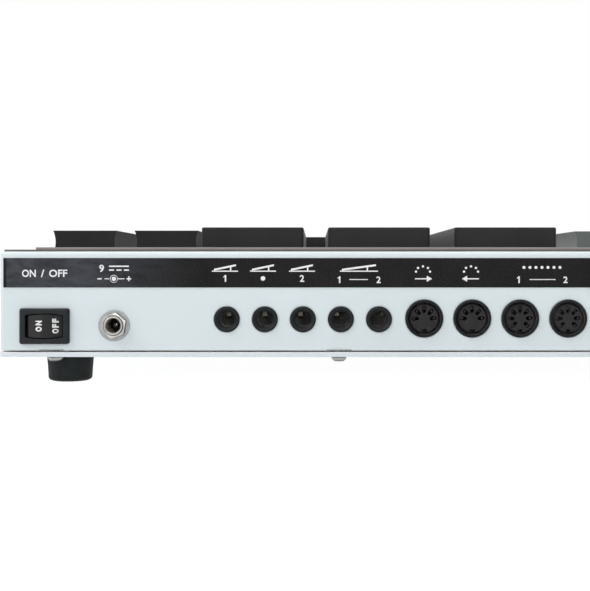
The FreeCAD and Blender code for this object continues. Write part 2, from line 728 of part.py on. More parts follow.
def switch_body():
    """Bezel, snap-in housing, rocker well and the see-saw's chamber, in one moulding."""
    panel = REAR_Y - PIVOT_Y
    front = panel + BEZEL_PROUD
    back = -CHAMBER_DEPTH - SWITCH_FLOOR
    bezel = box(-BEZEL_WIDTH / 2, BEZEL_WIDTH / 2, panel, front, -BEZEL_HEIGHT / 2, BEZEL_HEIGHT / 2)
    bezel = bezel.makeFillet(BEZEL_PROUD / 2, edges_along(bezel, OUT))
    rim = [e for e in bezel.Edges if all(abs(v.Y - front) < 1e-6 for v in e.Vertexes)]
    bezel = bezel.makeChamfer(BEZEL_BEVEL, rim)
    half = SWITCH_WIDTH / 2
    housing = box(-half, half, back, panel, -SWITCH_HEIGHT / 2, SWITCH_HEIGHT / 2)
    snap_top = panel - SHEET - PANEL_CLEAR
    snaps = []
    for side in (-1, 1):
        wedge = [V(side * half, snap_top, 0), V(side * (half + SNAP_REACH), snap_top, 0),
                 V(side * half, snap_top - 5 * SNAP_REACH, 0)]
        snap = prism(wedge, V(0, 0, BLADE_WIDTH))
        snap.translate(V(0, 0, -BLADE_WIDTH / 2))
        snaps.append(snap)
    solid = union([housing, bezel] + snaps)
    mid = SWITCH_HEIGHT / 2 - WELL_WALL
    blades = [-CONTACT_AT, 0]
    slot_x = BLADE_THICKNESS / 2 + BLADE_CLEAR
    slot_z = BLADE_WIDTH / 2 + BLADE_CLEAR
    tools = [barrel(WELL_HALF, mid, WELL_BULGE, -WELL_DEPTH, front + 1),
             box(-CHAMBER_HALF, CHAMBER_HALF, -CHAMBER_DEPTH, 0, -CHAMBER_WIDTH / 2, CHAMBER_WIDTH / 2),
             upright(0, 0, PIVOT_RADIUS + PIVOT_CLEAR, -mid - PIVOT_REACH - PIVOT_CLEAR,
                     mid + PIVOT_REACH + PIVOT_CLEAR)]
    tools += [box(x - slot_x, x + slot_x, back - 1, 0, -slot_z, slot_z) for x in blades]
    return in_switch(cut(solid, tools))


def rocker_at_rest(shape):
    """The OFF end is pressed in at rest, so all that tilts starts turned about the pivot."""
    shape.rotate(V(0, 0, 0), UP, ROCKER_TILT)
    return in_switch(shape)


def switch_rocker():
    """Two sloping faces that meet in a rounded ridge, ends on an arc about the pivot, and a stem."""
    reach = WELL_HALF - ROCKER_GAP
    slope = math.radians(FACE_SLOPE)
    # the face meets the end arc where PIVOT_DEPTH - u tan(slope) lies at reach from the pivot
    tangent = math.tan(slope)
    root = math.sqrt(reach ** 2 * (1 + tangent ** 2) - PIVOT_DEPTH ** 2)
    end_u = (PIVOT_DEPTH * tangent + root) / (1 + tangent ** 2)
    end_v = PIVOT_DEPTH - end_u * tangent
    low_u = math.sqrt(reach ** 2 - ROCKER_SKIRT ** 2)
    mid = SWITCH_HEIGHT / 2 - WELL_WALL
    chain = [V(end_u, end_v, 0), V(0, PIVOT_DEPTH, 0), V(-end_u, end_v, 0)]
    faces = [Part.LineSegment(a, b).toShape() for a, b in zip(chain, chain[1:])]
    left = Part.Arc(V(-end_u, end_v, 0), V(-reach, 0, 0), V(-low_u, -ROCKER_SKIRT, 0)).toShape()
    under = Part.LineSegment(V(-low_u, -ROCKER_SKIRT, 0), V(low_u, -ROCKER_SKIRT, 0)).toShape()
    right = Part.Arc(V(low_u, -ROCKER_SKIRT, 0), V(reach, 0, 0), V(end_u, end_v, 0)).toShape()
    profile = Part.Face(Part.Wire(faces + [left, under, right]))
    block = profile.extrude(V(0, 0, SWITCH_HEIGHT))
    block.translate(V(0, 0, -SWITCH_HEIGHT / 2))
    ridge = edges_along(block, UP, lambda middle: abs(middle.y - PIVOT_DEPTH) < 1e-6)
    block = block.makeFillet(RIDGE_RADIUS, ridge)
    block = block.common(barrel(WELL_HALF, mid - ROCKER_SIDE_GAP, WELL_BULGE, -ROCKER_SKIRT - 1, PIVOT_DEPTH + 1))
    stem = outward(0, 0, STEM_RADIUS, -STEM_LENGTH, 0)
    pins = upright(0, 0, PIVOT_RADIUS, -mid - PIVOT_REACH, mid + PIVOT_REACH)
    bore_top = PLUNGER_LENGTH + SPRING_ROOM - PLUNGER_REACH
    bore = outward(0, 0, PLUNGER_RADIUS + PLUNGER_CLEAR, -STEM_LENGTH - 1, bore_top)
    return rocker_at_rest(union([block, stem, pins]).cut(bore))


def rocker_plunger():
    """A round-nosed pin that slides in the rocker's stem."""
    dome = PLUNGER_REACH - PLUNGER_RADIUS
    top = -(PLUNGER_REACH - PLUNGER_LENGTH)
    pin = union([outward(0, 0, PLUNGER_RADIUS, -dome, top), Part.makeSphere(PLUNGER_RADIUS, V(0, -dome, 0))])
    return rocker_at_rest(pin)


def rocker_spring():
    """The coil above the plunger, of square wire, from the plunger's top to the end of the stem's bore."""
    half = SPRING_WIRE
    radius = PLUNGER_RADIUS - SPRING_WIRE
    low = PLUNGER_LENGTH - PLUNGER_REACH + half
    steps = SPRING_TURNS * SHANK_SIDES
    rings = []
    for step in range(steps + 1):
        angle = math.tau * step / SHANK_SIDES
        height = low + (SPRING_ROOM - 2 * half) * step / steps
        rings.append([V((radius + a) * math.cos(angle), height + b, (radius + a) * math.sin(angle))
                      for a, b in ((-half, -half), (half, -half), (half, half), (-half, half))])
    corners = [(rings[0][0], rings[0][1], rings[0][2]), (rings[0][0], rings[0][2], rings[0][3])]
    corners += [(rings[-1][0], rings[-1][2], rings[-1][1]), (rings[-1][0], rings[-1][3], rings[-1][2])]
    for near, far in zip(rings, rings[1:]):
        for side in range(4):
            after = (side + 1) % 4
            corners += [(near[side], far[side], far[after]), (near[side], far[after], near[after])]
    faces = [Part.Face(Part.makePolygon([a, b, c, a])) for a, b, c in corners]
    coil = Part.Solid(Part.Shell(faces))
    if coil.Volume < 0:
        coil.reverse()
    return rocker_at_rest(coil)


def seesaw_contact():
    """A flat bridge with a rivet under each end, which rocks on the middle blade."""
    low = -FULCRUM_DEPTH + FULCRUM_GAP
    plate = box(-SEESAW_HALF, SEESAW_HALF, low, low + SEESAW_THICKNESS, -SEESAW_WIDTH / 2, SEESAW_WIDTH / 2)
    rivets = [outward(x, 0, CONTACT_RADIUS, low - CONTACT_HEIGHT, low) for x in (-CONTACT_AT, CONTACT_AT)]
    bridge = union([plate] + rivets)
    bridge.rotate(V(0, -FULCRUM_DEPTH, 0), UP, -SEESAW_TILT)
    return in_switch(bridge)


def switch_terminals():
    """The middle blade's rounded top is the fulcrum; the ON blade carries the fixed contact."""
    end = -CHAMBER_DEPTH - SWITCH_FLOOR - BLADE_TAIL
    half = BLADE_THICKNESS / 2
    width = BLADE_WIDTH / 2
    top = -FULCRUM_DEPTH - half
    middle = union([box(-half, half, end, top, -width, width), upright(0, top, half, -width, width)])
    tilt = math.radians(SEESAW_TILT)
    drop = (CONTACT_AT + CONTACT_RADIUS) * math.sin(tilt) + CONTACT_HEIGHT - FULCRUM_GAP + CONTACT_GAP
    fixed = -FULCRUM_DEPTH - drop
    live = box(-CONTACT_AT - half, -CONTACT_AT + half, end, fixed - CONTACT_HEIGHT, -width, width)
    rivet = outward(-CONTACT_AT, 0, CONTACT_RADIUS, fixed - CONTACT_HEIGHT, fixed)
    return [in_switch(middle), in_switch(union([live, rivet]))]


def dc_jack():
    """A threaded bushing in a moulded body, clamped to the panel by a washer and a hex nut."""
    x = from_treble(DC_AT)
    inner = REAR_Y - SHEET
    back = REAR_Y - DC_BODY_DEPTH
    bushing_end = REAR_Y - DC_BUSHING_LENGTH
    mouth = REAR_Y + DC_PROUD
    slot_low = DC_BORE + DC_SLOT
    leaf = LEAF_THICKNESS
    body = outward(x, DC_Z, DC_BODY_RADIUS, back, inner)
    tag_slot = box(x + slot_low - DC_SLOT, x + slot_low + 2 * leaf, back - 1, bushing_end, DC_Z - LEAF_WIDTH / 2,
                   DC_Z + LEAF_WIDTH / 2)
    body = cut(body, [outward(x, DC_Z, DC_BUSHING_RADIUS + THREAD_CLEAR, bushing_end, inner + 1),
                      outward(x, DC_Z, DC_BORE, back + DC_BACK_WALL, inner),
                      outward(x, DC_Z, DC_PIN_RADIUS, back - 1, inner), tag_slot])
    tube = [(DC_BORE, -DC_BUSHING_LENGTH), (DC_BUSHING_RADIUS, -DC_BUSHING_LENGTH),
            (DC_BUSHING_RADIUS, DC_PROUD - DC_SLOT), (DC_BUSHING_RADIUS - DC_SLOT, DC_PROUD),
            (DC_BORE + DC_SLOT / 2, DC_PROUD), (DC_BORE, DC_PROUD - DC_SLOT / 2)]
    bushing = revolved(tube, V(x, REAR_Y, DC_Z), OUT)
    hole = DC_BUSHING_RADIUS + PANEL_CLEAR
    washer = outward(x, DC_Z, DC_WASHER_RADIUS, REAR_Y, REAR_Y + DC_WASHER)
    washer = washer.cut(outward(x, DC_Z, hole, REAR_Y - 1, mouth))
    seat = REAR_Y + DC_WASHER
    nut = many_sided(6, DC_NUT_ACROSS, V(x, seat, DC_Z), OUT, DC_NUT, DC_NUT_TURN)
    front = seat + DC_NUT
    nut = nut.makeChamfer(DC_NUT_BEVEL, [e for e in nut.Edges if all(abs(v.Y - front) < 1e-6 for v in e.Vertexes)])
    nut = nut.cut(outward(x, DC_Z, DC_BUSHING_RADIUS + THREAD_CLEAR, REAR_Y, mouth))
    tip = DC_PROUD - DC_PIN_RECESS
    tail = -DC_BODY_DEPTH - DC_TAG
    pin = revolved([(0, tail), (DC_PIN_RADIUS, tail), (DC_PIN_RADIUS, tip - DC_PIN_RADIUS / 2),
                    (DC_PIN_RADIUS / 2, tip), (0, tip)], V(x, REAR_Y, DC_Z), OUT)
    contact = box(x + slot_low, x + slot_low + leaf, back - DC_TAG, bushing_end - DC_SLOT,
                  DC_Z - LEAF_WIDTH / 2 + BLADE_CLEAR, DC_Z + LEAF_WIDTH / 2 - BLADE_CLEAR)
    return {"dc_jack_body": body, "dc_jack_bushing": bushing, "dc_jack_washer": washer, "dc_jack_nut": nut,
            "dc_jack_pin": pin, "dc_jack_contact": contact}


def leaf_routes():
    """The sleeve, ring and tip springs, as runs of (distance behind the panel, height over the axis)."""
    root = JACK_BOARD_TOP - JACK_Z
    floor = -JACK_CHAMBER_REACH + LEAF_THICKNESS
    bore_end = -JACK_BORE_LENGTH
    touch = -JACK_BORE - LEAF_THICKNESS
    rear, middle, front = [bore_end - distance for distance in reversed(LEAF_ROOTS)]
    sleeve = [(front, root), (front, floor), (front + 3.4, touch), (front + 5.8, floor + 1)]
    ring = [(middle, root), (middle, floor), (middle + 2.9, touch), (middle + 4.1, touch - 1)]
    tip = [(rear, root), (rear, 4.6), (rear + 3.0, 1.0), (rear + 5.6, 2.8)]
    return [sleeve, ring, tip]


def jack_housing(x):
    """A nose that passes the panel, a front block and a taller rear block that stands on the board."""
    inner = REAR_Y - SHEET
    back = inner - JACK_BODY_DEPTH
    step = REAR_Y - FLANGE - 1
    half = JACK_BODY_WIDTH / 2
    nose_points = [(0, -SHEET - 1), (JACK_NOSE_RADIUS, -SHEET - 1), (JACK_NOSE_RADIUS, JACK_PROUD - 0.3),
                   (JACK_NOSE_RADIUS - 0.3, JACK_PROUD), (0, JACK_PROUD)]
    nose = revolved(nose_points, V(x, REAR_Y, JACK_Z), OUT)
    front = box(x - half, x + half, step - 1, inner, JACK_Z - JACK_FRONT_HALF, JACK_Z + JACK_FRONT_HALF)
    rear = box(x - half, x + half, back, step, JACK_BOARD_TOP, JACK_Z + JACK_TOP)
    solid = union([nose, front, rear])
    bore = [(0, -JACK_BORE_LENGTH - 1), (JACK_BORE, -JACK_BORE_LENGTH - 1), (JACK_BORE, JACK_PROUD - JACK_MOUTH),
            (JACK_BORE + JACK_MOUTH, JACK_PROUD), (JACK_BORE + JACK_MOUTH, JACK_PROUD + 1), (0, JACK_PROUD + 1)]
    chamber = box(x - JACK_CHAMBER_HALF, x + JACK_CHAMBER_HALF, back + JACK_WALL, REAR_Y - JACK_BORE_LENGTH,
                  JACK_Z - JACK_CHAMBER_REACH, JACK_Z + JACK_CHAMBER_REACH)
    tools = [revolved(bore, V(x, REAR_Y, JACK_Z), OUT), chamber]
    slot = LEAF_THICKNESS / 2 + SENSOR_CLEAR
    wide = LEAF_WIDTH / 2 + SENSOR_CLEAR
    for route in leaf_routes():
        y = REAR_Y + route[0][0]
        tools.append(box(x - wide, x + wide, y - slot, y + slot, JACK_BOARD_TOP - 1, JACK_Z - 1))
    return cut(solid, tools)


def pedal_jack_contacts():
    leaves = []
    for x in jack_xs():
        for route in leaf_routes():
            leaves.append(strip(route, LEAF_THICKNESS, 0, LEAF_WIDTH, side_on(x - LEAF_WIDTH / 2, REAR_Y, JACK_Z)))
    return leaves


def pin_angles(count):
    """Pins lie 45 degrees apart about the top, away from the key at the bottom."""
    outer = (count - 1) // 2
    return [45 * n for n in range(-outer, outer + 1)]


def din_body(x):
    """A square block with a round nose through the panel and a deep round pocket."""
    inner = REAR_Y - SHEET
    back = inner - DIN_BODY_DEPTH
    step = REAR_Y - FLANGE - 1
    half = DIN_BODY_WIDTH / 2
    mouth = REAR_Y + DIN_PROUD
    nose_points = [(0, -SHEET - 1), (DIN_NOSE_RADIUS, -SHEET - 1), (DIN_NOSE_RADIUS, DIN_PROUD - 0.4),
                   (DIN_NOSE_RADIUS - 0.4, DIN_PROUD), (0, DIN_PROUD)]
    nose = revolved(nose_points, V(x, REAR_Y, DIN_Z), OUT)
    front = box(x - half, x + half, step - 1, inner, DIN_Z - DIN_FRONT_HALF, DIN_Z + DIN_FRONT_HALF)
    rear = box(x - half, x + half, back, step, JACK_BOARD_TOP, DIN_Z + DIN_FRONT_HALF)
    pocket = outward(x, DIN_Z, DIN_POCKET, mouth - DIN_POCKET_DEPTH, mouth + 1)
    window = outward(x, DIN_Z, DIN_WINDOW, back - 1, mouth)
    return cut(union([nose, front, rear]), [pocket, window])


def din_insert(x, count):
    """The round insert with a slot for each pin and the key's notch at the bottom."""
    mouth = REAR_Y + DIN_PROUD
    floor = mouth - DIN_POCKET_DEPTH
    face = mouth - DIN_INSERT_RECESS
    key = box(x - DIN_KEY_WIDTH / 2, x + DIN_KEY_WIDTH / 2, floor + DIN_KEY_FLOOR, face + 1,
              DIN_Z - DIN_INSERT_RADIUS - 1, DIN_Z - DIN_INSERT_RADIUS + DIN_KEY_DEPTH)
    tools = [key]
    wide = DIN_SLOT_WIDTH / 2
    for angle in pin_angles(count):
        slot = box(-wide, wide, floor - 1, face + 1, DIN_PIN_CIRCLE - DIN_SLOT_LENGTH / 2,
                   DIN_PIN_CIRCLE + DIN_SLOT_LENGTH / 2)
        slot = slot.makeChamfer(DIN_SLOT_CORNER, edges_along(slot, OUT))
        slot.rotate(V(0, 0, 0), OUT, angle)
        slot.translate(V(x, 0, DIN_Z))
        tools.append(slot)
    return cut(outward(x, DIN_Z, DIN_INSERT_RADIUS, floor, face), tools)


def din_contacts():
    """Each contact runs back through its slot and bends down to the board, the upper ones furthest back."""
    back = REAR_Y - SHEET - DIN_BODY_DEPTH
    front = REAR_Y + DIN_PROUD - DIN_CONTACT_RECESS
    half = DIN_CONTACT / 2
    contacts = []
    for x, count in zip(din_xs(), DIN_PIN_COUNT):
        for angle in pin_angles(count):
            px = x + DIN_PIN_CIRCLE * math.sin(math.radians(angle))
            pz = DIN_Z + DIN_PIN_CIRCLE * math.cos(math.radians(angle))
            row = 3 - abs(angle) // 45
            end = back - DIN_TAIL_STEP * (0.5 + row)
            bar = box(px - half, px + half, end - DIN_CONTACT, front, pz - half, pz + half)
            leg = box(px - half, px + half, end - DIN_CONTACT, end, JACK_BOARD_TOP, pz + half)
            contacts.append(union([bar, leg]))
    return contacts


def jack_board_span():
    return din_xs()[-1] - DIN_BODY_WIDTH / 2 - JACK_BOARD_SCREW, jack_xs()[0] + JACK_BOARD_END


def jack_board_screws():
    low, high = jack_board_span()
    y = REAR_Y - JACK_BOARD_DEPTH + JACK_BOARD_SCREW
    inset = JACK_BOARD_SCREW
    return [(low + inset + (high - low - 2 * inset) * n / 3, y) for n in range(4)]


def main_board_screws():
    xs = [MAIN_BOARD_AT + side * (MAIN_BOARD_WIDTH / 2 - MAIN_BOARD_SCREW) for side in (-1, 1)]
    y_rear = REAR_Y - MAIN_BOARD_FROM_REAR
    y_front = y_rear - MAIN_BOARD_LENGTH
    return [(x, y) for x in xs for y in (y_rear - MAIN_BOARD_SCREW, y_front + MAIN_BOARD_SCREW)]


def lcd_screws():
    x, y = lcd_centre()
    dx = LCD_BOARD_WIDTH / 2 - LCD_SCREW
    dy = LCD_BOARD_LENGTH / 2 - LCD_SCREW
    return [(x + sx * dx, y + sy * dy) for sx in (-1, 1) for sy in (-1, 1)]


def board_holes(points, z):
    return [small_round(x, y, BOARD_SCREW_RADIUS + HOLE_CLEAR, z - 1, z + PCB + 1) for x, y in points]


def jack_board():
    low, high = jack_board_span()
    z = JACK_BOARD_TOP - PCB
    board = box(low, high, REAR_Y - JACK_BOARD_DEPTH, REAR_Y - FLANGE - 1, z, JACK_BOARD_TOP)
    return cut(board, board_holes(jack_board_screws(), z))


def main_board():
    y = REAR_Y - MAIN_BOARD_FROM_REAR
    board = box(MAIN_BOARD_AT - MAIN_BOARD_WIDTH / 2, MAIN_BOARD_AT + MAIN_BOARD_WIDTH / 2, y - MAIN_BOARD_LENGTH, y,
                MAIN_BOARD_Z, MAIN_BOARD_Z + PCB)
    return cut(board, board_holes(main_board_screws(), MAIN_BOARD_Z))


def main_chips():
    """The processor, its memories and the converters, hanging from the main board."""
    y = REAR_Y - MAIN_BOARD_FROM_REAR - MAIN_BOARD_LENGTH / 2
    plans = [(0, -14, 29, 29, 4.2)] + [(side * 42, row, 14, 30, 4.0) for side in (-1, 1) for row in (-18, 18)]
    chips = []
    for dx, dy, width, length, height in plans:
        x = MAIN_BOARD_AT + dx
        chip = box(x - width / 2, x + width / 2, y + dy - length / 2, y + dy + length / 2, MAIN_BOARD_Z - height,
                   MAIN_BOARD_Z)
        chips.append(chip.makeChamfer(0.6, edges_at_height(chip, MAIN_BOARD_Z - height)))
    return chips


def lcd_board_z():
    return UNDER_DECK - LCD_FRAME_DEPTH - PCB


def standoff(x, y, z0, z1):
    """A hex pillar with a blind screw hole in its lower end."""
    pillar = many_sided(6, STANDOFF_ACROSS, V(x, y, z0), UP, z1 - z0)
    depth = min(BOARD_SCREW_GRIP + 1, (z1 - z0) * 0.9)
    return pillar.cut(small_round(x, y, BOARD_SCREW_RADIUS + THREAD_CLEAR, z0 - 1, z0 + depth))


def board_standoffs():
    pillars = [standoff(x, y, JACK_BOARD_TOP, UNDER_DECK) for x, y in jack_board_screws()]
    return pillars + [standoff(x, y, MAIN_BOARD_Z + PCB, UNDER_DECK) for x, y in main_board_screws()]


def lcd_spacers():
    return [standoff(x, y, lcd_board_z() + PCB, UNDER_DECK) for x, y in lcd_screws()]


def board_screws():
    screws = []
    rows = [(jack_board_screws(), JACK_BOARD_TOP - PCB, BOARD_SCREW_GRIP),
            (main_board_screws(), MAIN_BOARD_Z, BOARD_SCREW_GRIP),
            (lcd_screws(), lcd_board_z(), LCD_FRAME_DEPTH * 0.8)]
    for points, seat, grip in rows:
        for x, y in points:
            screws.append(pan_screw(x, y, seat, seat + PCB + grip, BOARD_SCREW_RADIUS, BOARD_SCREW_HEAD_RADIUS,
                                    BOARD_SCREW_HEAD))
    return screws


def lcd_parts():
    """A clear window flush with the overlay, and the framed glass on its board below the deck."""
    width, length = lcd_window_size(0)
    window = lcd_block(width, length, DECK_Z, OVERLAY_TOP)
    window = window.makeFillet(0.3, edges_along(window, UP))
    rim = LCD_FRAME_RIM
    low = UNDER_DECK - LCD_FRAME_DEPTH
    outer = lcd_block(LCD_VIEW_WIDTH + 2 * rim, LCD_VIEW_LENGTH + 2 * rim, low, UNDER_DECK)
    wall = LCD_FRAME_WALL
    inner = lcd_block(LCD_VIEW_WIDTH + 2 * (rim - wall), LCD_VIEW_LENGTH + 2 * (rim - wall), low - 1, UNDER_DECK - wall)
    frame = outer.cut([inner, lcd_block(LCD_VIEW_WIDTH, LCD_VIEW_LENGTH, low, UNDER_DECK + 1)])
    inside = rim - wall - SENSOR_CLEAR
    glass = lcd_block(LCD_VIEW_WIDTH + 2 * inside, LCD_VIEW_LENGTH + 2 * inside, UNDER_DECK - wall - LCD_GLASS,
                      UNDER_DECK - wall)
    board = cut(lcd_block(LCD_BOARD_WIDTH, LCD_BOARD_LENGTH, low - PCB, low), board_holes(lcd_screws(), low - PCB))
    return {"lcd_window": window, "lcd_frame": frame, "lcd_glass": glass, "lcd_board": board}


def ribbon_ends():
    """The heights and depths between which the ribbon runs from the jack board to the main board."""
    jack_header_y = REAR_Y - JACK_BOARD_DEPTH + HEADER_WIDTH / 2 + 1
    main_header_y = REAR_Y - MAIN_BOARD_FROM_REAR - HEADER_WIDTH / 2 - 1
    return jack_header_y, main_header_y


def ribbon_x():
    points = jack_board_screws()
    return (points[1][0] + points[2][0]) / 2


def lcd_cable_ends():
    x, y = lcd_centre()
    left = x + LCD_BOARD_WIDTH / 2 - LCD_SCREW * 2 - HEADER_WIDTH / 2 - 1
    right = MAIN_BOARD_AT - MAIN_BOARD_WIDTH / 2 + HEADER_WIDTH / 2 + 1
    return left, right, y


def board_headers():
    """Box headers for the two sensor tails, for the ribbon's two ends and for the display's cable."""
    headers = []
    half = HEADER_WIDTH / 2
    long_half = RIBBON_WIDTH / 2 + HEADER_END
    top = MAIN_BOARD_Z + PCB
    for x, y in tail_points():
        block = box(x - long_half, x + long_half, y - half, y + half, top, top + HEADER_HEIGHT)
        slot = box(x - TAIL_WIDTH / 2 - SENSOR_CLEAR, x + TAIL_WIDTH / 2 + SENSOR_CLEAR, y - TAIL_THICKNESS,
                   y + TAIL_THICKNESS, top + 1, top + HEADER_HEIGHT + 1)
        headers.append(block.cut(slot))
    jack_y, main_y = ribbon_ends()
    x = ribbon_x()
    headers.append(box(x - long_half, x + long_half, jack_y - half, jack_y + half, JACK_BOARD_TOP,
                       JACK_BOARD_TOP + HEADER_HEIGHT))
    headers.append(box(x - long_half, x + long_half, main_y - half, main_y + half, MAIN_BOARD_Z - HEADER_HEIGHT,
                       MAIN_BOARD_Z))
    left, right, y = lcd_cable_ends()
    cable_half = LCD_CABLE_WIDTH / 2
    for x, z in ((left, lcd_board_z()), (right, MAIN_BOARD_Z)):
        headers.append(box(x - half, x + half, y - cable_half, y + cable_half, z - HEADER_HEIGHT / 2, z))
    return headers


def ribbon_cable():
    """A flat cable that leaves each header sideways and climbs between them in two easy bends."""
    jack_y, main_y = ribbon_ends()
    low = JACK_BOARD_TOP + HEADER_HEIGHT * 0.7
    high = MAIN_BOARD_Z - HEADER_HEIGHT * 0.7
    start = jack_y - HEADER_WIDTH / 2
    end = main_y + HEADER_WIDTH / 2
    middle = (start + end) / 2
    route = [(start, low), (middle, low), (middle, high), (end, high)]
    bend = min(RIBBON_BEND, abs(high - low) / 2.2, (start - end) / 2.2)
    return strip(route, RIBBON_THICKNESS, bend, RIBBON_WIDTH, side_on(ribbon_x() - RIBBON_WIDTH / 2, 0, 0))


def lcd_cable():
    left, right, y = lcd_cable_ends()
    first = lcd_board_z() - HEADER_HEIGHT / 4
    second = MAIN_BOARD_Z - HEADER_HEIGHT / 4
    start = left + HEADER_WIDTH / 2
    end = right - HEADER_WIDTH / 2
    run = end - start
    route = [(start, first), (start + run * 0.35, first), (start + run * 0.6, second), (end, second)]
    wide = LCD_CABLE_WIDTH * 0.8
    return strip(route, RIBBON_THICKNESS, RIBBON_BEND, wide, front_on(0, y + wide / 2, 0))


def sensor_tails():
    low = MAIN_BOARD_Z + PCB + HEADER_HEIGHT * 0.4
    half = TAIL_WIDTH / 2
    return [box(x - half, x + half, y - TAIL_THICKNESS / 2, y + TAIL_THICKNESS / 2, low, TAIL_TOP)
            for x, y in tail_points()]


def power_leads():
    """Three insulated wires: inlet to switch, switch to board and inlet to board."""
    switch_x = from_treble(SWITCH_AT)
    live_x = switch_x - CONTACT_AT
    inlet_x = from_treble(DC_AT)
    tag_x = inlet_x + DC_BORE + DC_SLOT + LEAF_THICKNESS / 2
    board_x = jack_board_span()[1] - JACK_BOARD_SCREW
    blade_end = PIVOT_Y - CHAMBER_DEPTH - SWITCH_FLOOR - BLADE_TAIL
    tag_end = REAR_Y - DC_BODY_DEPTH - DC_TAG
    loop = blade_end - 2 * LEAD_BEND
    climb = tag_end - 1.5 * LEAD_SPACING
    over = DC_Z + DC_BODY_RADIUS
    first = [V(switch_x, blade_end, SWITCH_Z), V(switch_x, loop, SWITCH_Z), V(inlet_x, loop, DC_Z),
             V(inlet_x, tag_end, DC_Z)]
    second = [V(tag_x, tag_end, DC_Z), V(tag_x, climb, DC_Z), V(tag_x, climb, over), V(board_x, climb, over),
              V(board_x, climb, JACK_BOARD_TOP)]
    climb -= LEAD_SPACING
    over += LEAD_SPACING
    third = [V(live_x, blade_end, SWITCH_Z), V(live_x, climb, SWITCH_Z), V(live_x, climb, over),
             V(board_x, climb, over), V(board_x, climb, JACK_BOARD_TOP)]
    return [lead(first, LEAD_RADIUS, LEAD_BEND), lead(second, LEAD_RADIUS, LEAD_TURN),
            lead(third, LEAD_RADIUS, LEAD_TURN)]


def all_parts():
    parts = {
        "top_cover": top_cover(),
        "bottom_plate": bottom_plate(),
        "deck_rails": deck_rails(),
        "case_screws": case_screws(),
        "clinch_nuts": clinch_nuts(),
        "sensor_board": sensor_board(),
        "overlay_sheet": overlay_sheet(),
        "force_sensors": sensor_boxes(0, SENSOR_THICKNESS),
        "sensor_tails": sensor_tails(),
        "label_strip": label_strip(),
        "switch_body": switch_body(),
        "switch_rocker": switch_rocker(),
        "rocker_plunger": rocker_plunger(),
        "rocker_spring": rocker_spring(),
        "seesaw_contact": seesaw_contact(),
        "switch_terminals": switch_terminals(),
        "pedal_jack_housings": [jack_housing(x) for x in jack_xs()],
        "pedal_jack_contacts": pedal_jack_contacts(),
        "din_bodies": [din_body(x) for x in din_xs()],
        "din_inserts": [din_insert(x, count) for x, count in zip(din_xs(), DIN_PIN_COUNT)],
        "din_contacts": din_contacts(),
        "jack_board": jack_board(),
        "main_board": main_board(),
        "main_chips": main_chips(),
        "board_headers": board_headers(),
        "board_standoffs": board_standoffs(),
        "board_screws": board_screws(),
        "lcd_spacers": lcd_spacers(),
        "ribbon_cable": ribbon_cable(),
        "lcd_cable": lcd_cable(),
        "power_leads": power_leads(),
    }
    for group in (pads(), foot_parts(), dc_jack(), lcd_parts()):
        parts.update(group)
    return parts


def main():
    os.makedirs("parts", exist_ok=True)
    for name, shape in all_parts().items():
        solid = Part.makeCompound(shape) if isinstance(shape, list) else shape
        solid.exportStep("parts/" + name + ".step")


main()
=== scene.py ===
import math

import bpy
from mathutils import Matrix, Vector


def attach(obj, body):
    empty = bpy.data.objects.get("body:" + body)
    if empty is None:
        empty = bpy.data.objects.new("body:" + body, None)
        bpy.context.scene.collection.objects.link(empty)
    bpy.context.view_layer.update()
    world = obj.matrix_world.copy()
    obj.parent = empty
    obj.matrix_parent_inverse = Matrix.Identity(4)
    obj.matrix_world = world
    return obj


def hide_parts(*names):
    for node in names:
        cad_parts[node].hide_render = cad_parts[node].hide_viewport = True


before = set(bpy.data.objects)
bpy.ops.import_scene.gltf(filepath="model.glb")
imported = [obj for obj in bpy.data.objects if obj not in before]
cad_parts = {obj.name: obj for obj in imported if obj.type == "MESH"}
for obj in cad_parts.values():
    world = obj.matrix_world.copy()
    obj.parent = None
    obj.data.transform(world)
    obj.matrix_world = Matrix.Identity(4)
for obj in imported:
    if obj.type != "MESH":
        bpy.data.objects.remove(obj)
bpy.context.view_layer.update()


# Camera: it stands level behind the treble end of the case, half a metre from the rear panel, and
# looks straight at it. Its shift frames the end of the panel as the photograph does.
def deselect():
    bpy.ops.object.select_all(action="DESELECT")


deselect()
bpy.ops.object.camera_add(location=(0.2754, 0.65445, 0.0495),
                          rotation=(math.radians(90), 0, math.radians(180)))
camera = bpy.context.object
camera.name = "rear_camera"
camera.data.sensor_width = 36.0
camera.data.lens = 67.86
camera.data.shift_x = -0.0338
camera.data.shift_y = -0.0465
camera.data.clip_start = 0.01
camera.data.clip_end = 50.0
bpy.context.scene.camera = camera
bpy.context.scene.view_settings.view_transform = "Standard"


# Floor: a plain pale sheet under the feet. It keeps the soft shadow of the case, and a part of its
# brightness is its own, so that it runs into the white background without an edge. From below it
# is open, so that the underside can be looked at.
def worked(tree, kind, first, second=None):
    """One step of arithmetic, on numbers and on the outputs of earlier steps."""
    step = tree.nodes.new("ShaderNodeMath")
    step.operation = kind
    for number, value in enumerate((first, second)):
        if isinstance(value, float):
            step.inputs[number].default_value = value
        elif value is not None:
            tree.links.new(value, step.inputs[number])
    return step.outputs[0]


def shown(tree):
    """One where a surface is seen by the camera, in metal or through glass, and else nought."""
    rays = tree.nodes.new("ShaderNodeLightPath")
    seen = worked(tree, "MAXIMUM", rays.outputs["Is Camera Ray"], rays.outputs["Is Glossy Ray"])
    return worked(tree, "MAXIMUM", seen, rays.outputs["Is Transmission Ray"])


def combined(tree, kind, *sources):
    """Adds two shaders, or mixes them by the share that then comes first."""
    step = tree.nodes.new(kind)
    for number, source in enumerate(sources):
        tree.links.new(source, step.inputs[number])
    return step.outputs[0]


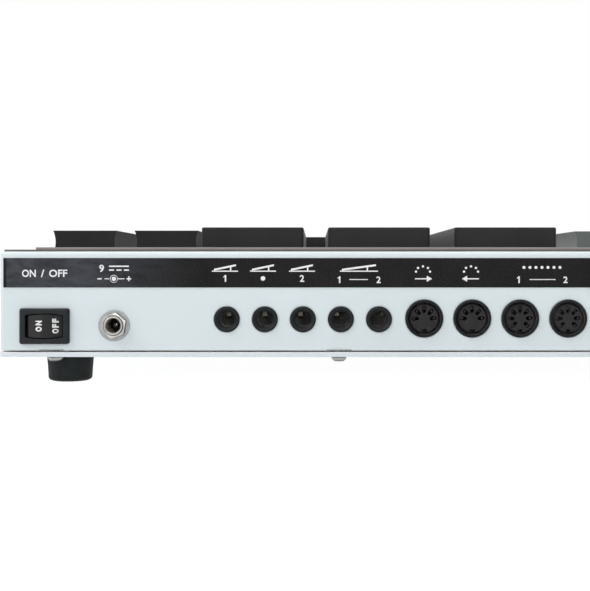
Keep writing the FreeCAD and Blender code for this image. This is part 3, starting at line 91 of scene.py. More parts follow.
bpy.ops.mesh.primitive_plane_add(size=12.0, location=(0, 0, -0.00005))
floor = bpy.context.object
floor.name = "studio_floor"
floor_paint = bpy.data.materials.new("studio_floor")
floor_paint.use_nodes = True
tree = floor_paint.node_tree
lit = tree.nodes["Principled BSDF"]
lit.inputs["Base Color"].default_value = (0.80, 0.80, 0.80, 1)
lit.inputs["Roughness"].default_value = 0.95
lit.inputs["Specular IOR Level"].default_value = 0.05
faint = tree.nodes.new("ShaderNodeBsdfDiffuse")
faint.inputs["Color"].default_value = (0.26, 0.26, 0.26, 1)
glow = tree.nodes.new("ShaderNodeEmission")
glow.inputs["Strength"].default_value = 0.965
white = combined(tree, "ShaderNodeAddShader", faint.outputs[0], glow.outputs[0])
above = combined(tree, "ShaderNodeMixShader", shown(tree), lit.outputs[0], white)
below = tree.nodes.new("ShaderNodeBsdfTransparent")
facing = tree.nodes.new("ShaderNodeNewGeometry").outputs["Backfacing"]
sheet = combined(tree, "ShaderNodeMixShader", facing, above, below.outputs[0])
tree.links.new(sheet, tree.nodes["Material Output"].inputs["Surface"])
floor.data.materials.append(floor_paint)


# Studio: a pale surround that reads white where it is seen, and lights the object less than it
# shows. Four large soft lamps add shape: one at the photograph's upper left, one behind the
# camera, one overhead and one on the far side.
def ranged(tree, value, start, end, low=0.0, high=1.0, smooth=False):
    """Goes from low to high while a value goes from start to end."""
    step = tree.nodes.new("ShaderNodeMapRange")
    step.interpolation_type = "SMOOTHSTEP" if smooth else "LINEAR"
    for name, number in (("From Min", start), ("From Max", end), ("To Min", low), ("To Max", high)):
        step.inputs[name].default_value = number
    tree.links.new(value, step.inputs["Value"])
    return step.outputs["Result"]


world = bpy.data.worlds.new("studio")
bpy.context.scene.world = world
world.use_nodes = True
tree = world.node_tree
surround = tree.nodes["Background"]
surround.inputs["Color"].default_value = (1, 1, 1, 1)
tree.links.new(ranged(tree, shown(tree), 0.0, 1.0, 0.41, 1.0), surround.inputs["Strength"])
for lamp, stand, aim, size, power in (
        ("key_lamp", (1.30, 0.62, 1.05), (0.25, 0.16, 0.04), 0.8, 10.2),
        ("rear_lamp", (0.05, 1.85, 0.8), (0.18, 0.18, 0.04), 1.0, 9.2),
        ("overhead_lamp", (0.1, -0.1, 1.9), (0.1, 0.0, 0.0), 1.6, 20.0),
        ("front_lamp", (-0.9, -1.5, 1.1), (0.0, 0.0, 0.03), 1.1, 14.0)):
    bpy.ops.object.light_add(type="AREA", location=stand)
    light = bpy.context.object
    light.name = lamp
    light.data.size = size
    light.data.energy = power
    light.rotation_euler = (Vector(aim) - Vector(stand)).to_track_quat("-Z", "Y").to_euler()


# Bottom plate: a flat painted steel sheet that closes the case, its edge a hair proud of the
# walls. It hangs on sixteen screws, and its pale blue-grey powder coat is the same as the cover's.
def node_group(name, takes, gives):
    """A shader node group that takes numbers and gives the named sockets of the named kinds."""
    group = bpy.data.node_groups.new(name, "ShaderNodeTree")
    for title in takes:
        group.interface.new_socket(name=title, in_out="INPUT", socket_type="NodeSocketFloat")
    for title, kind in gives:
        group.interface.new_socket(name=title, in_out="OUTPUT", socket_type=kind)
    return group, group.nodes.new("NodeGroupInput"), group.nodes.new("NodeGroupOutput")


def noise(tree, where, scale, detail=2.0, distortion=0.0):
    """Soft random patches, with the scale a number or an output."""
    cloud = tree.nodes.new("ShaderNodeTexNoise")
    cloud.inputs["Detail"].default_value = detail
    cloud.inputs["Distortion"].default_value = distortion
    tree.links.new(where, cloud.inputs["Vector"])
    if isinstance(scale, float):
        cloud.inputs["Scale"].default_value = scale
    else:
        tree.links.new(scale, cloud.inputs["Scale"])
    return cloud.outputs["Fac"]


# Mottle gives every finish its patches and its fine grain, each from soft noise of a given size.
mottle, given, result = node_group("mottle", ("Patch mm", "Grain mm"),
                                   (("Patches", "NodeSocketFloat"), ("Grain", "NodeSocketFloat")))
where = mottle.nodes.new("ShaderNodeTexCoord").outputs["Object"]
for size, mask, detail, start, end in (("Patch mm", "Patches", 3.0, 0.32, 0.68),
                                       ("Grain mm", "Grain", 2.0, 0.25, 0.75)):
    per_metre = worked(mottle, "DIVIDE", 1000.0, given.outputs[size])
    spots = ranged(mottle, noise(mottle, where, per_metre, detail), start, end)
    mottle.links.new(spots, result.inputs[mask])

# Edge wear finds the edges, where a rounded normal leaves the true one, and rubs them in places.
edge_wear, given, result = node_group("edge_wear", ("Width mm", "Amount"),
                                      (("Edge", "NodeSocketFloat"), ("Normal", "NodeSocketVector")))
bevel = edge_wear.nodes.new("ShaderNodeBevel")
bevel.samples = 4
width = worked(edge_wear, "MULTIPLY", given.outputs["Width mm"], 0.001)
edge_wear.links.new(width, bevel.inputs["Radius"])
surface = edge_wear.nodes.new("ShaderNodeNewGeometry")
turn = edge_wear.nodes.new("ShaderNodeVectorMath")
turn.operation = "DOT_PRODUCT"
edge_wear.links.new(bevel.outputs[0], turn.inputs[0])
edge_wear.links.new(surface.outputs["Normal"], turn.inputs[1])
rounded = ranged(edge_wear, turn.outputs["Value"], 0.98, 0.72)
rub = noise(edge_wear, edge_wear.nodes.new("ShaderNodeTexCoord").outputs["Object"], 900.0)
patchy = worked(edge_wear, "MULTIPLY", rounded, rub)
edge = worked(edge_wear, "MULTIPLY", patchy, given.outputs["Amount"])
edge.node.use_clamp = True
edge_wear.links.new(edge, result.inputs["Edge"])
edge_wear.links.new(bevel.outputs[0], result.inputs["Normal"])


def laid_over(tree, under, colour, mask):
    """A colour over another, which is a colour or an output, where the mask is one."""
    mix = tree.nodes.new("ShaderNodeMix")
    mix.data_type = "RGBA"
    if isinstance(under, tuple):
        mix.inputs["A"].default_value = (*under, 1)
    else:
        tree.links.new(under, mix.inputs["A"])
    mix.inputs["B"].default_value = (*colour, 1)
    tree.links.new(mask, mix.inputs["Factor"])
    return mix.outputs["Result"]


def make_finish(name, dark, light, patch, grain, relief, rough, metallic=0.0, worn=None,
                wear=(0.3, 1.0), gloss=0.5, sheen=0.0):
    """A finish with two near colours in patches, a fine grain that roughens it, and rubbed edges.

    Patch, grain and relief are sizes in millimetres, and rough is the range over the grain. Worn
    is the colour of the rubbed edges, and wear is their width in millimetres and their strength.
    """
    material = bpy.data.materials.new(name)
    material.use_nodes = True
    tree = material.node_tree
    shader = tree.nodes["Principled BSDF"]
    for title, value in (("Metallic", metallic), ("Specular IOR Level", gloss),
                         ("Sheen Weight", sheen), ("Sheen Roughness", 0.35)):
        shader.inputs[title].default_value = value
    groups = []
    for group, values in ((mottle, (patch, grain)), (edge_wear, wear)):
        placed = tree.nodes.new("ShaderNodeGroup")
        placed.node_tree = group
        for number, value in enumerate(values):
            placed.inputs[number].default_value = value
        groups.append(placed)
    spots, rub = groups
    colour = laid_over(tree, dark, light, spots.outputs["Patches"])
    if worn:
        colour = laid_over(tree, colour, worn, rub.outputs["Edge"])
    tree.links.new(colour, shader.inputs["Base Color"])
    matt = ranged(tree, spots.outputs["Grain"], 0.0, 1.0, *rough)
    tree.links.new(matt, shader.inputs["Roughness"])
    bump = tree.nodes.new("ShaderNodeBump")
    bump.inputs["Strength"].default_value = 0.6
    bump.inputs["Distance"].default_value = relief * 0.001
    tree.links.new(spots.outputs["Grain"], bump.inputs["Height"])
    tree.links.new(rub.outputs["Normal"], bump.inputs["Normal"])
    tree.links.new(bump.outputs[0], shader.inputs["Normal"])
    return material


def dress(material, *names):
    for name in names:
        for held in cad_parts[name].material_slots:
            held.material = material


def along(tree, axis):
    part = tree.nodes.new("ShaderNodeSeparateXYZ")
    tree.links.new(tree.nodes.new("ShaderNodeTexCoord").outputs["Object"], part.inputs[0])
    return part.outputs[axis]


def tint(material, colour, mask):
    """Lays another colour over a finish where the mask is one."""
    tree = material.node_tree
    paint = tree.nodes["Principled BSDF"].inputs["Base Color"]
    tree.links.new(laid_over(tree, paint.links[0].from_socket, colour, mask), paint)


def tint_along(material, colour, axis, start, end):
    """Lays another colour over a finish, coming in from start to end along an axis in metres."""
    tree = material.node_tree
    tint(material, colour, ranged(tree, along(tree, axis), start, end, smooth=True))


# Painted light: the two faces that meet in the narrow seam get a lighter coat, which lifts the shade
# there.
seam_painted_light = (0.95, 0.96, 0.96)
plate_paint = make_finish("plate_paint", (0.62, 0.68, 0.71), (0.68, 0.74, 0.77), 60, 0.35, 0.02,
                          (0.42, 0.52), worn=(0.80, 0.81, 0.80), wear=(0.35, 0.8))
tint_along(plate_paint, seam_painted_light, "Z", 0.01380, 0.01395)
dress(plate_paint, "bottom_plate")

# Top cover: one steel sheet folded into the deck, the four walls and the return flange, then
# powder coated. The coat is smooth with a faint orange peel, and thinner and brighter on the bends.
cover_paint = make_finish("cover_paint", (0.62, 0.69, 0.715), (0.655, 0.725, 0.75), 90, 0.4, 0.02,
                          (0.36, 0.46), worn=(0.86, 0.87, 0.85), wear=(0.9, 1.2))
# Painted light on the flange's underside in the seam, as on the plate's upper face.
tint_along(cover_paint, seam_painted_light, "Z", 0.01485, 0.01475)
dress(cover_paint, "top_cover")

# Deck rails: two hat sections of zinc-plated steel under the deck, spot welded along their feet.
# Plating leaves them dull grey with a faint spangle.
zinc = make_finish("zinc_plate", (0.34, 0.34, 0.33), (0.50, 0.49, 0.47), 6, 0.25, 0.01,
                   (0.28, 0.42), metallic=1.0)
dress(zinc, "deck_rails")


# Case screws: sixteen cross-head pan screws of zinc-plated steel, driven up through the plate into
# clinch nuts that are pressed into the flange. A painted highlight makes the domed heads brightest
# round the middle.
def outline(name, points, closed=False):
    """A line through (across, height) points in millimetres, left selected in edit mode."""
    deselect()
    bpy.ops.mesh.primitive_circle_add(vertices=len(points), radius=0.01)
    piece = bpy.context.object
    piece.name = name
    mesh = piece.data
    for vertex, (across, height) in zip(mesh.vertices, points):
        vertex.co = (across * 0.001, 0, height * 0.001)
    last = {0, len(points) - 1}
    bpy.ops.object.mode_set(mode="EDIT")
    bpy.ops.mesh.select_mode(type="EDGE")
    bpy.ops.mesh.select_all(action="DESELECT")
    bpy.ops.object.mode_set(mode="OBJECT")
    for edge in mesh.edges:
        edge.select = not closed and set(edge.vertices) == last
    bpy.ops.object.mode_set(mode="EDIT")
    if not closed:
        bpy.ops.mesh.delete(type="EDGE")
    bpy.ops.mesh.select_all(action="SELECT")
    return piece


def close_up(merge=True):
    """In edit mode: merges what coincides, turns the faces outwards, and leaves edit mode."""
    bpy.ops.mesh.select_all(action="SELECT")
    if merge:
        bpy.ops.mesh.remove_doubles(threshold=1e-6)
    bpy.ops.mesh.normals_make_consistent(inside=False)
    bpy.ops.object.mode_set(mode="OBJECT")


def smooth_to(degrees):
    """Smooth shading, save on edges that turn by more than the angle."""
    bpy.ops.object.shade_smooth_by_angle(angle=math.radians(degrees))


def turned(name, profile, closed=False, steps=48):
    """Spins a profile of (radius, height) points in millimetres about the upright axis."""
    piece = outline(name, profile, closed)
    bpy.ops.mesh.spin(steps=steps, angle=math.tau, center=(0, 0, 0), axis=(0, 0, 1))
    close_up()
    smooth_to(35)
    return piece


def change(piece, kind, **settings):
    """Adds a modifier to the active piece and applies it."""
    step = piece.modifiers.new("change", kind)
    for name, value in settings.items():
        setattr(step, name, value)
    bpy.ops.object.modifier_apply(modifier="change")


def cut_from(piece, cutter, kind="DIFFERENCE"):
    deselect()
    bpy.context.view_layer.objects.active = piece
    piece.select_set(True)
    change(piece, "BOOLEAN", operation=kind, object=cutter, solver="EXACT")
    bpy.data.objects.remove(cutter)
    return piece


def block(name, low, high):
    """A box between two corners in millimetres, with its place in its mesh."""
    deselect()
    middle = [(a + b) / 2000 for a, b in zip(low, high)]
    bpy.ops.mesh.primitive_cube_add(size=1, location=middle)
    piece = bpy.context.object
    piece.name = name
    piece.scale = [(b - a) / 1000 for a, b in zip(low, high)]
    bpy.ops.object.transform_apply(location=True, rotation=True, scale=True)
    return piece


def joined(name, pieces):
    deselect()
    for piece in pieces:
        piece.select_set(True)
    bpy.context.view_layer.objects.active = pieces[0]
    if len(pieces) > 1:
        bpy.ops.object.join()
    pieces[0].name = name
    return pieces[0]


def set_out(name, piece, places, turns=None):
    """Copies of a piece at several places in millimetres, each with its own mesh, joined in one."""
    copies = []
    for number, place in enumerate(places):
        copy = piece.copy()
        copy.data = piece.data.copy()
        bpy.context.collection.objects.link(copy)
        turn = Matrix.Rotation(math.radians(turns[number]), 4, "Z") if turns else Matrix()
        copy.data.transform(Matrix.Translation([c / 1000 for c in place]) @ turn)
        copies.append(copy)
    bpy.data.objects.remove(piece)
    return joined(name, copies)


def fit(piece, material, slot, *stands_for, body="root"):
    piece.data.materials.clear()
    piece.data.materials.append(material)
    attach(piece, body)
    if stands_for:
        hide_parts(*stands_for)
    return piece


def pan_head_screw(name, head_radius, head, radius, length, pitch=0.6):
    """A pan head that hangs below its seat at height 0, with a cross recess and a threaded shank."""
    dome = ((0, 1), (0.40, 0.985), (0.62, 0.92), (0.80, 0.76), (0.93, 0.50), (0.99, 0.24), (1, 0))
    profile = [(head_radius * out, -head * down) for out, down in dome] + [(radius, 0)]
    turns = int((length - radius * 0.6) / pitch)
    for turn in range(turns):
        profile += [(radius * 0.84, (turn + 0.35) * pitch), (radius, (turn + 0.8) * pitch)]
    profile += [(radius * 0.8, turns * pitch), (radius * 0.45, length), (0, length)]
    screw = turned(name, profile, steps=28)
    arm, blade, taper = head_radius * 0.56, head_radius * 0.14, 0.62
    for half_x, half_y in ((arm, blade), (blade, arm)):
        notch = block("notch", (-half_x, -half_y, -head - 1), (half_x, half_y, -head * 0.45))
        for vertex in notch.data.vertices:
            if vertex.co.z * 1000 > -head * 0.6:
                vertex.co.x *= taper if half_x == arm else 1.0
                vertex.co.y *= taper if half_y == arm else 1.0
        screw = cut_from(screw, notch)
    smooth_to(35)
    return screw


rear_y, front_y, plate_z = 184.45, -187.55, 12.0
rear_half_length, flare = 408.3, math.radians(6)
middle_depth = (rear_y - front_y) / 2
screw_inset = 8
screw_xs = (386.6, 265.1, 143.6, 0.0, -143.6, -265.1, -386.6)
screw_places = [(x, y, plate_z) for y in (rear_y - screw_inset, front_y + screw_inset)
                for x in screw_xs]
side_x = rear_half_length + middle_depth * math.tan(flare) - screw_inset / math.cos(flare)
screw_places += [(x, rear_y - middle_depth, plate_z) for x in (side_x, -side_x)]
case_screw = pan_head_screw("case_screw", 3.4, 2.5, 1.75, 5.4)
case_screws = set_out("case_screw_heads", case_screw, screw_places, [17 + 37 * n for n in range(16)])
screw_zinc_painted_band = make_finish("screw_zinc_painted_band", (0.055, 0.06, 0.06), (0.10, 0.11, 0.105), 2, 0.12, 0.006,
                          (0.22, 0.36), metallic=1.0)
# Painted highlight: a lighter band round the middle of the case screws' heads. The dark base above
# and below it stands as painted shade.
tree = screw_zinc_painted_band.node_tree
low_edge, high_edge = [ranged(tree, along(tree, "Z"), start, end, smooth=True)
                       for start, end in ((0.0099, 0.0103), (0.0115, 0.0110))]
tint(screw_zinc_painted_band, (0.34, 0.35, 0.34), worked(tree, "MULTIPLY", low_edge, high_edge))
fit(case_screws, screw_zinc_painted_band, "zinc_steel", "case_screws")
dress(zinc, "clinch_nuts")

# Feet: four tapered bumpers of black rubber with a rounded rim and a moulded recess. In each
# recess a steel washer and a screw hold it, and the screw's nut sits inside the case.
foot_rubber = make_finish("foot_rubber", (0.010, 0.0125, 0.0125), (0.016, 0.0195, 0.0205), 5, 0.3,
                          0.03, (0.5, 0.7), gloss=0.2)
foot_profile = [(2.25, 12.0), (2.25, 5.5), (4.6, 5.5), (4.95, 5.2), (5.25, 0.35), (5.6, 0.0)]
for degrees in range(0, 91, 10):
    angle = math.radians(degrees)
    foot_profile.append((6.5 + 3.0 * math.sin(angle), 1.7 - 1.7 * math.cos(angle)))
foot_profile += [(9.72, 5.6), (9.98, 8.8), (10.2, 11.6), (10.05, 12.0)]
foot = turned("foot", foot_profile, closed=True, steps=64)
from_side, from_end = 25, 22
front_x = rear_half_length + (rear_y - front_y - from_end) * math.tan(flare) - from_side
foot_places = [(x, y) for half, y in ((rear_half_length - from_side, rear_y - from_end),
                                      (front_x, front_y + from_end)) for x in (half, -half)]
feet = set_out("rubber_feet", foot, [(x, y, 0) for x, y in foot_places])
fit(feet, foot_rubber, "foot_rubber", "feet")
foot_screw = pan_head_screw("foot_screw", 3.9, 2.3, 2.0, 13.7)
foot_screws = set_out("foot_screw_heads", foot_screw, [(x, y, 4.5) for x, y in foot_places],
                      [12, 75, 130, 44])
fit(foot_screws, screw_zinc_painted_band, "zinc_steel", "foot_screws")
dress(zinc, "foot_washers", "foot_nuts")

# Sensor board and overlay: a thin brown laminate over the deck carries the sensor patches, and a
# beige plastic sheet lies on it. Only their edges show beside the pads.
laminate = make_finish("brown_laminate", (0.10, 0.086, 0.076), (0.13, 0.114, 0.102), 12, 0.3, 0.01,
                       (0.5, 0.65), gloss=0.3)
overlay = make_finish("beige_overlay", (0.26, 0.25, 0.235), (0.32, 0.305, 0.285), 40, 0.4, 0.015,
                      (0.45, 0.6), gloss=0.3)
film = make_finish("sensor_film", (0.03, 0.02, 0.015), (0.06, 0.045, 0.03), 3, 0.2, 0.005,
                   (0.35, 0.5))
dress(laminate, "sensor_board")
dress(overlay, "overlay_sheet")
dress(film, "force_sensors", "sensor_tails")


# Strike pads: long bars of dense black rubber glued to the overlay, in two rows as on a
# xylophone. Each is moulded with eased corners and a soft rim round its striking face.
def rubber_bar(name, width, length, thickness):
    bar = block(name, (-width / 2, 0, 0), (width / 2, length, thickness))
    top = (thickness - 0.01) * 0.001

    def upright(a, b):
        return abs(a.z - b.z) > 1e-6

    def round_the_top(a, b):
        return min(a.z, b.z) > top

    for picked, ease, steps in ((upright, 0.0016, 4), (round_the_top, 0.0006, 3)):
        bpy.ops.object.mode_set(mode="EDIT")
        bpy.ops.mesh.select_mode(type="EDGE")
        bpy.ops.mesh.select_all(action="DESELECT")
        bpy.ops.object.mode_set(mode="OBJECT")
        for edge in bar.data.edges:
            edge.select = picked(*[bar.data.vertices[v].co for v in edge.vertices])
        bpy.ops.object.mode_set(mode="EDIT")
        bpy.ops.mesh.bevel(offset=ease, segments=steps, affect="EDGES")
        bpy.ops.object.mode_set(mode="OBJECT")
    smooth_to(30)
    change(bar, "WEIGHTED_NORMAL", keep_sharp=True)
    return bar


pad_rubber = make_finish("pad_rubber", (0.009, 0.009, 0.0095), (0.013, 0.013, 0.0135), 14, 0.5,
                         0.04, (0.42, 0.55), gloss=0.2, sheen=0.12)
pad_width, pad_thickness, pad_z = 44.4, 8.9, 58.3
pad_pitch, first_pad_x = 55.0, -385.0
naturals = [(first_pad_x + pad_pitch * n, front_y + 16, pad_z) for n in range(15)]
accidentals = [(first_pad_x + pad_pitch * (n + 0.5), rear_y - 154, pad_z) for n in range(14)
               if n % 7 not in (2, 6)]
for name, length, places in (("natural_pads", 190.0, naturals),
                             ("accidental_pads", 140.0, accidentals)):
    bar = rubber_bar("bar", pad_width, length, pad_thickness)
    fit(set_out(name + "_rubber", bar, places), pad_rubber, "pad_rubber", name)

# Narrow pads: strips of the same rubber, die cut, so that their long sides draw in a little.
# The ones in the E-F gaps are grey.
gap_rubber = make_finish("grey_rubber", (0.122, 0.144, 0.141), (0.148, 0.171, 0.168), 14, 0.5,
                         0.04, (0.42, 0.55), gloss=0.25, sheen=0.45)
dress(pad_rubber, "function_pads")
dress(gap_rubber, "gap_pads")

# Display: a clear acrylic window in the deck, flush with the overlay, over a framed glass on its
# own small board. The glass is a reflective grey-green.
clear = make_finish("clear_window", (0.93, 0.95, 0.94), (0.97, 0.98, 0.97), 30, 1.0, 0.001,
                    (0.02, 0.06))
clear.node_tree.nodes["Principled BSDF"].inputs["Transmission Weight"].default_value = 1.0
dress(clear, "lcd_window")
glass = make_finish("display_glass", (0.16, 0.21, 0.13), (0.19, 0.25, 0.15), 3, 0.5, 0.003,
                    (0.15, 0.22))
dress(glass, "lcd_glass")
dress(zinc, "lcd_frame")

# Label: a glossy black printed film stuck along the top of the rear wall. Towards its end over the
# switch a painted reflection lies on it: a bluish grey in soft patches that fades out just short of
# the end.
label_film = make_finish("label_film", (0.0055, 0.0055, 0.005), (0.010, 0.009, 0.0095), 9, 0.6,
                         0.01, (0.2, 0.34), gloss=0.12)
tree = label_film.node_tree
stretch = tree.nodes.new("ShaderNodeMapping")
stretch.inputs["Rotation"].default_value = (0, 0.5, 0)
stretch.inputs["Scale"].default_value = (70, 70, 190)
tree.links.new(tree.nodes.new("ShaderNodeTexCoord").outputs["Object"], stretch.inputs["Vector"])
reflection_noise = noise(tree, stretch.outputs[0], 1.0, 4.0, 1.2)
painted_reflection = ranged(tree, reflection_noise, 0.3, 0.75, low=0.35)
for start, end in ((0.318, 0.388), (0.4062, 0.4050)):
    near_the_end = ranged(tree, along(tree, "X"), start, end, smooth=True)
    painted_reflection = worked(tree, "MULTIPLY", painted_reflection, near_the_end)
# The painted reflection is laid over the black film.
tint(label_film, (0.066, 0.071, 0.084), painted_reflection)
dress(label_film, "label_strip")

# Print on the label: white screen-printed marks over the switch, the inlet and the sockets.
# It is only ON and OFF, plain numbers, rules, dots and neutral signs.
ink_back, ink_front, ink_crossing, ink_on_top = [rear_y + out for out in (0.29, 0.32, 0.324, 0.328)]
points_per_mm = 2.3718
aim_x, aim_z = 275.4, 49.5
aim_across, aim_down = 315, 268


def at_point(across, down):
    """The place on the label, in millimetres, behind a point of the picture.

    The camera looks straight at the aim, which the picture shows at its own point.
    """
    return (aim_x - (across - aim_across) / points_per_mm,
            aim_z - (down - aim_down) / points_per_mm)


def lettering(words, swell, thickness, length, height):
    """Words as a mesh, with each point's place from their middle, scaled to a size.

    Without a length they keep their own proportions.
    """
    deselect()
    bpy.ops.object.text_add()
    text = bpy.context.object
    text.data.body = words
    text.data.offset = swell
    text.data.extrude = thickness
    text.data.resolution_u = 3
    bpy.ops.object.convert(target="MESH")
    text = bpy.context.object
    xs = [v.co.x for v in text.data.vertices]
    ys = [v.co.y for v in text.data.vertices]
    high = height / (max(ys) - min(ys))
    wide = length / (max(xs) - min(xs)) if length else high
    middle_x, middle_y = (max(xs) + min(xs)) / 2, (max(ys) + min(ys)) / 2
    return text, [((x - middle_x) * wide, (y - middle_y) * high) for x, y in zip(xs, ys)]


def printed(words, across, down, height, length=0.0):
    """White lettering on the label, with its height and length in picture points."""
    text, spread = lettering(words, 0.02, 0.01, length / points_per_mm, height / points_per_mm)
    x, z = at_point(across, down)
    for vertex, (u, v) in zip(text.data.vertices, spread):
        y = ink_front if vertex.co.z > 0 else ink_back
        vertex.co = ((x - u) / 1000, y / 1000, (z + v) / 1000)
    bpy.ops.object.mode_set(mode="EDIT")
    close_up()
    return text


def rule(left, right, top, bottom, face=ink_front):
    """A bar of print. One that crosses another is a hair prouder, so that no two faces coincide."""
    x1, z0 = at_point(left, bottom)
    x0, z1 = at_point(right, top)
    return block("rule", (x0, ink_back, z0), (x1, face, z1))


def one(across, down):
    """A plain figure 1: an upright stem with a short flag."""
    flag = rule(across - 1.6, across + 0.2, down - 3.3, down - 2.2, ink_crossing)
    for vertex in flag.data.vertices:
        if vertex.co.x * 1000 > at_point(across - 0.7, 0)[0]:
            vertex.co.z -= 0.0006
    return [rule(across - 0.2, across + 1.2, down - 3.4, down + 3.4), flag]


def slanted(across, reach, low, high, thick):
    """A pedal's plate seen from the side: a bar that rises to the right."""
    plate = rule(across - reach, across + reach, high, high + thick, ink_crossing)
    for vertex in plate.data.vertices:
        if vertex.co.x * 1000 > at_point(across, 0)[0]:
            vertex.co.z -= (low - high) / points_per_mm / 1000
    return plate


def facing_rear(piece, x, y, z, roll=0.0):
    """Lays an upright piece down, so that its top looks out of the rear wall."""
    laid = Matrix.Rotation(math.radians(-90), 4, "X")
    rolled = Matrix.Rotation(math.radians(roll), 4, "Z")
    piece.data.transform(Matrix.Translation((x / 1000, y / 1000, z / 1000)) @ laid @ rolled)
    return piece


def spot(across, down, radius, hole=0.0):
    """A dot of print, or a ring, with its radii in picture points."""
    x, z = at_point(across, down)
    r, h = radius / points_per_mm, hole / points_per_mm
    dot = turned("spot", [(h, 0), (r, 0), (r, 0.03), (h, 0.03)], closed=hole > 0, steps=24)
    return facing_rear(dot, x, ink_back, z)


marks = [printed(*mark) for mark in (("ON", 28.9, 273.3, 7.5, 13.9), ("/", 42.6, 273.3, 7.6, 3.6),
                                     ("OFF", 58.2, 273.3, 7.5, 18.2), ("9", 101.6, 268.4, 7.4, 4.8))]
# Beside the 9 stand the sign for direct current and, below, the sign for the plug's polarity.
marks += [rule(*bar) for bar in (
    (109, 129, 265.6, 266.9), (109, 114, 269.4, 270.7), (116.5, 121.5, 269.4, 270.7),
    (124, 129, 269.4, 270.7), (97.4, 101.8, 278.2, 279.4), (104.6, 109.2, 278.3, 279.2),
    (117.4, 124.4, 278.3, 279.2), (126.6, 131.2, 278.2, 279.4),
    (128.3, 129.5, 276.4, 281.1, ink_crossing))]
marks += [spot(113.9, 278.8, 2.2), spot(113.9, 278.8, 3.9, 3.4)]
# Over the jacks stand pedals seen from the side, with 1, a dot, 2, and 1 and 2 joined by a rule.
for across, reach in ((225, 11), (263, 11), (302, 11), (359, 17)):
    stay = across + reach * 0.45
    marks += [rule(across - reach - 2, across + reach + 2, 270.6, 271.7),
              slanted(across, reach, 268.8, 264.2, 1.9),
              rule(stay, stay + 1.4, 267.2, 270.8, ink_on_top)]
marks += one(225, 278.4) + one(339.2, 279.7) + one(518.6, 279.7)
marks += [spot(263, 278.4, 2.3), printed("2", 302, 278.4, 6.8), rule(349.3, 368.0, 279.1, 279.9),
          printed("2", 378.6, 279.7, 6.6)]
# Over the round sockets stand arcs of dots with an arrow in and out, and a row of seven dots.
for across, way in ((423, 1), (471, -1)):
    for degrees in (-90, -45, 0, 45, 90):
        angle = math.radians(degrees)
        marks.append(spot(across + 7.0 * math.sin(angle), 271.6 - 5.2 * math.cos(angle), 1.15))
    marks += [rule(across - 8, across + 8, 278.2, 279.3)]
    for step in range(4):
        tip = across + way * (8 - 1.2 * step)
        marks.append(rule(tip - 0.6, tip + 0.6, 278.1 - 0.7 * step, 279.4 + 0.7 * step,
                          ink_crossing))
marks += [spot(524 + 6.0 * number, 267.4, 1.5) for number in range(7)]
marks += [rule(529.5, 555.5, 279.1, 279.9), printed("2", 565.5, 279.7, 6.6)]
label_print = joined("label_print", marks)
print_white = make_finish("print_white", (0.72, 0.72, 0.73), (0.82, 0.82, 0.83), 2, 0.15, 0.004,
                          (0.4, 0.55), wear=(0.01, 0.0))
fit(label_print, print_white, "label_black")

# Rocker switch: a snap-in moulding with a bevelled bezel, and a rocker that tilts on two pins in its
# well. Both are black nylon, the rocker a little glossier, with painted light making its raised ON
# half greyer.
switch_black = make_finish("switch_black", (0.007, 0.009, 0.011), (0.012, 0.015, 0.017), 4, 0.2,
                           0.01, (0.38, 0.5), gloss=0.22)
rocker_black = make_finish("rocker_black", (0.0085, 0.009, 0.0095), (0.012, 0.0125, 0.013), 3, 0.25,
                           0.012, (0.34, 0.46), gloss=0.22)
brass = make_finish("contact_brass", (0.42, 0.30, 0.12), (0.55, 0.41, 0.18), 3, 0.15, 0.005,
                    (0.2, 0.35), metallic=1.0)
# Painted light: the ON half of the rocker is laid over with a greyer tone.
tint_along(rocker_black, (0.022, 0.0215, 0.0215), "X", 0.3888, 0.3915)
dress(switch_black, "switch_body")
dress(rocker_black, "switch_rocker")
dress(zinc, "rocker_plunger", "rocker_spring")
dress(brass, "seesaw_contact", "switch_terminals")


def on_rocker(sign, across, height, middle, length):
    """One bold raised letter that reads upwards, by its place across the rocker and up it."""
    letter, spread = lettering(sign, 0.058, 0.0, length, height)
    for vertex, (u, v) in zip(letter.data.vertices, spread):
        vertex.co = ((across + v) / 1000, 0.196, (middle + u) / 1000)
    bpy.ops.object.mode_set(mode="EDIT")
    bpy.ops.mesh.select_all(action="SELECT")
    bpy.ops.mesh.remove_doubles(threshold=1e-6)
    for step in range(-5, 6):
        bpy.ops.mesh.select_all(action="SELECT")
        bpy.ops.mesh.bisect(plane_co=((across + step * height / 11) / 1000, 0, 0),
                            plane_no=(1, 0, 0))
    bpy.ops.object.mode_set(mode="OBJECT")
    change(letter, "SHRINKWRAP", target=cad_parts["switch_rocker"], wrap_method="PROJECT",
           use_project_x=False, use_project_y=True, use_project_z=False,
           use_negative_direction=True, use_positive_direction=False, offset=0.00002)
    change(letter, "SOLIDIFY", thickness=0.00003, offset=1.0)
    bpy.ops.object.mode_set(mode="EDIT")
    close_up(merge=False)
    return letter


on_x, off_x = 391.4, 384.65
letters = [on_rocker("O", on_x, 2.7, 23.85, 2.1), on_rocker("N", on_x, 2.7, 26.4, 1.95),
           on_rocker("O", off_x, 2.6, 22.95, 2.0), on_rocker("F", off_x, 2.6, 25.15, 1.65),
           on_rocker("F", off_x, 2.6, 27.35, 1.75)]
rocker_print = joined("rocker_print", letters)
fit(rocker_print, print_white, "switch_black", body="rocker")
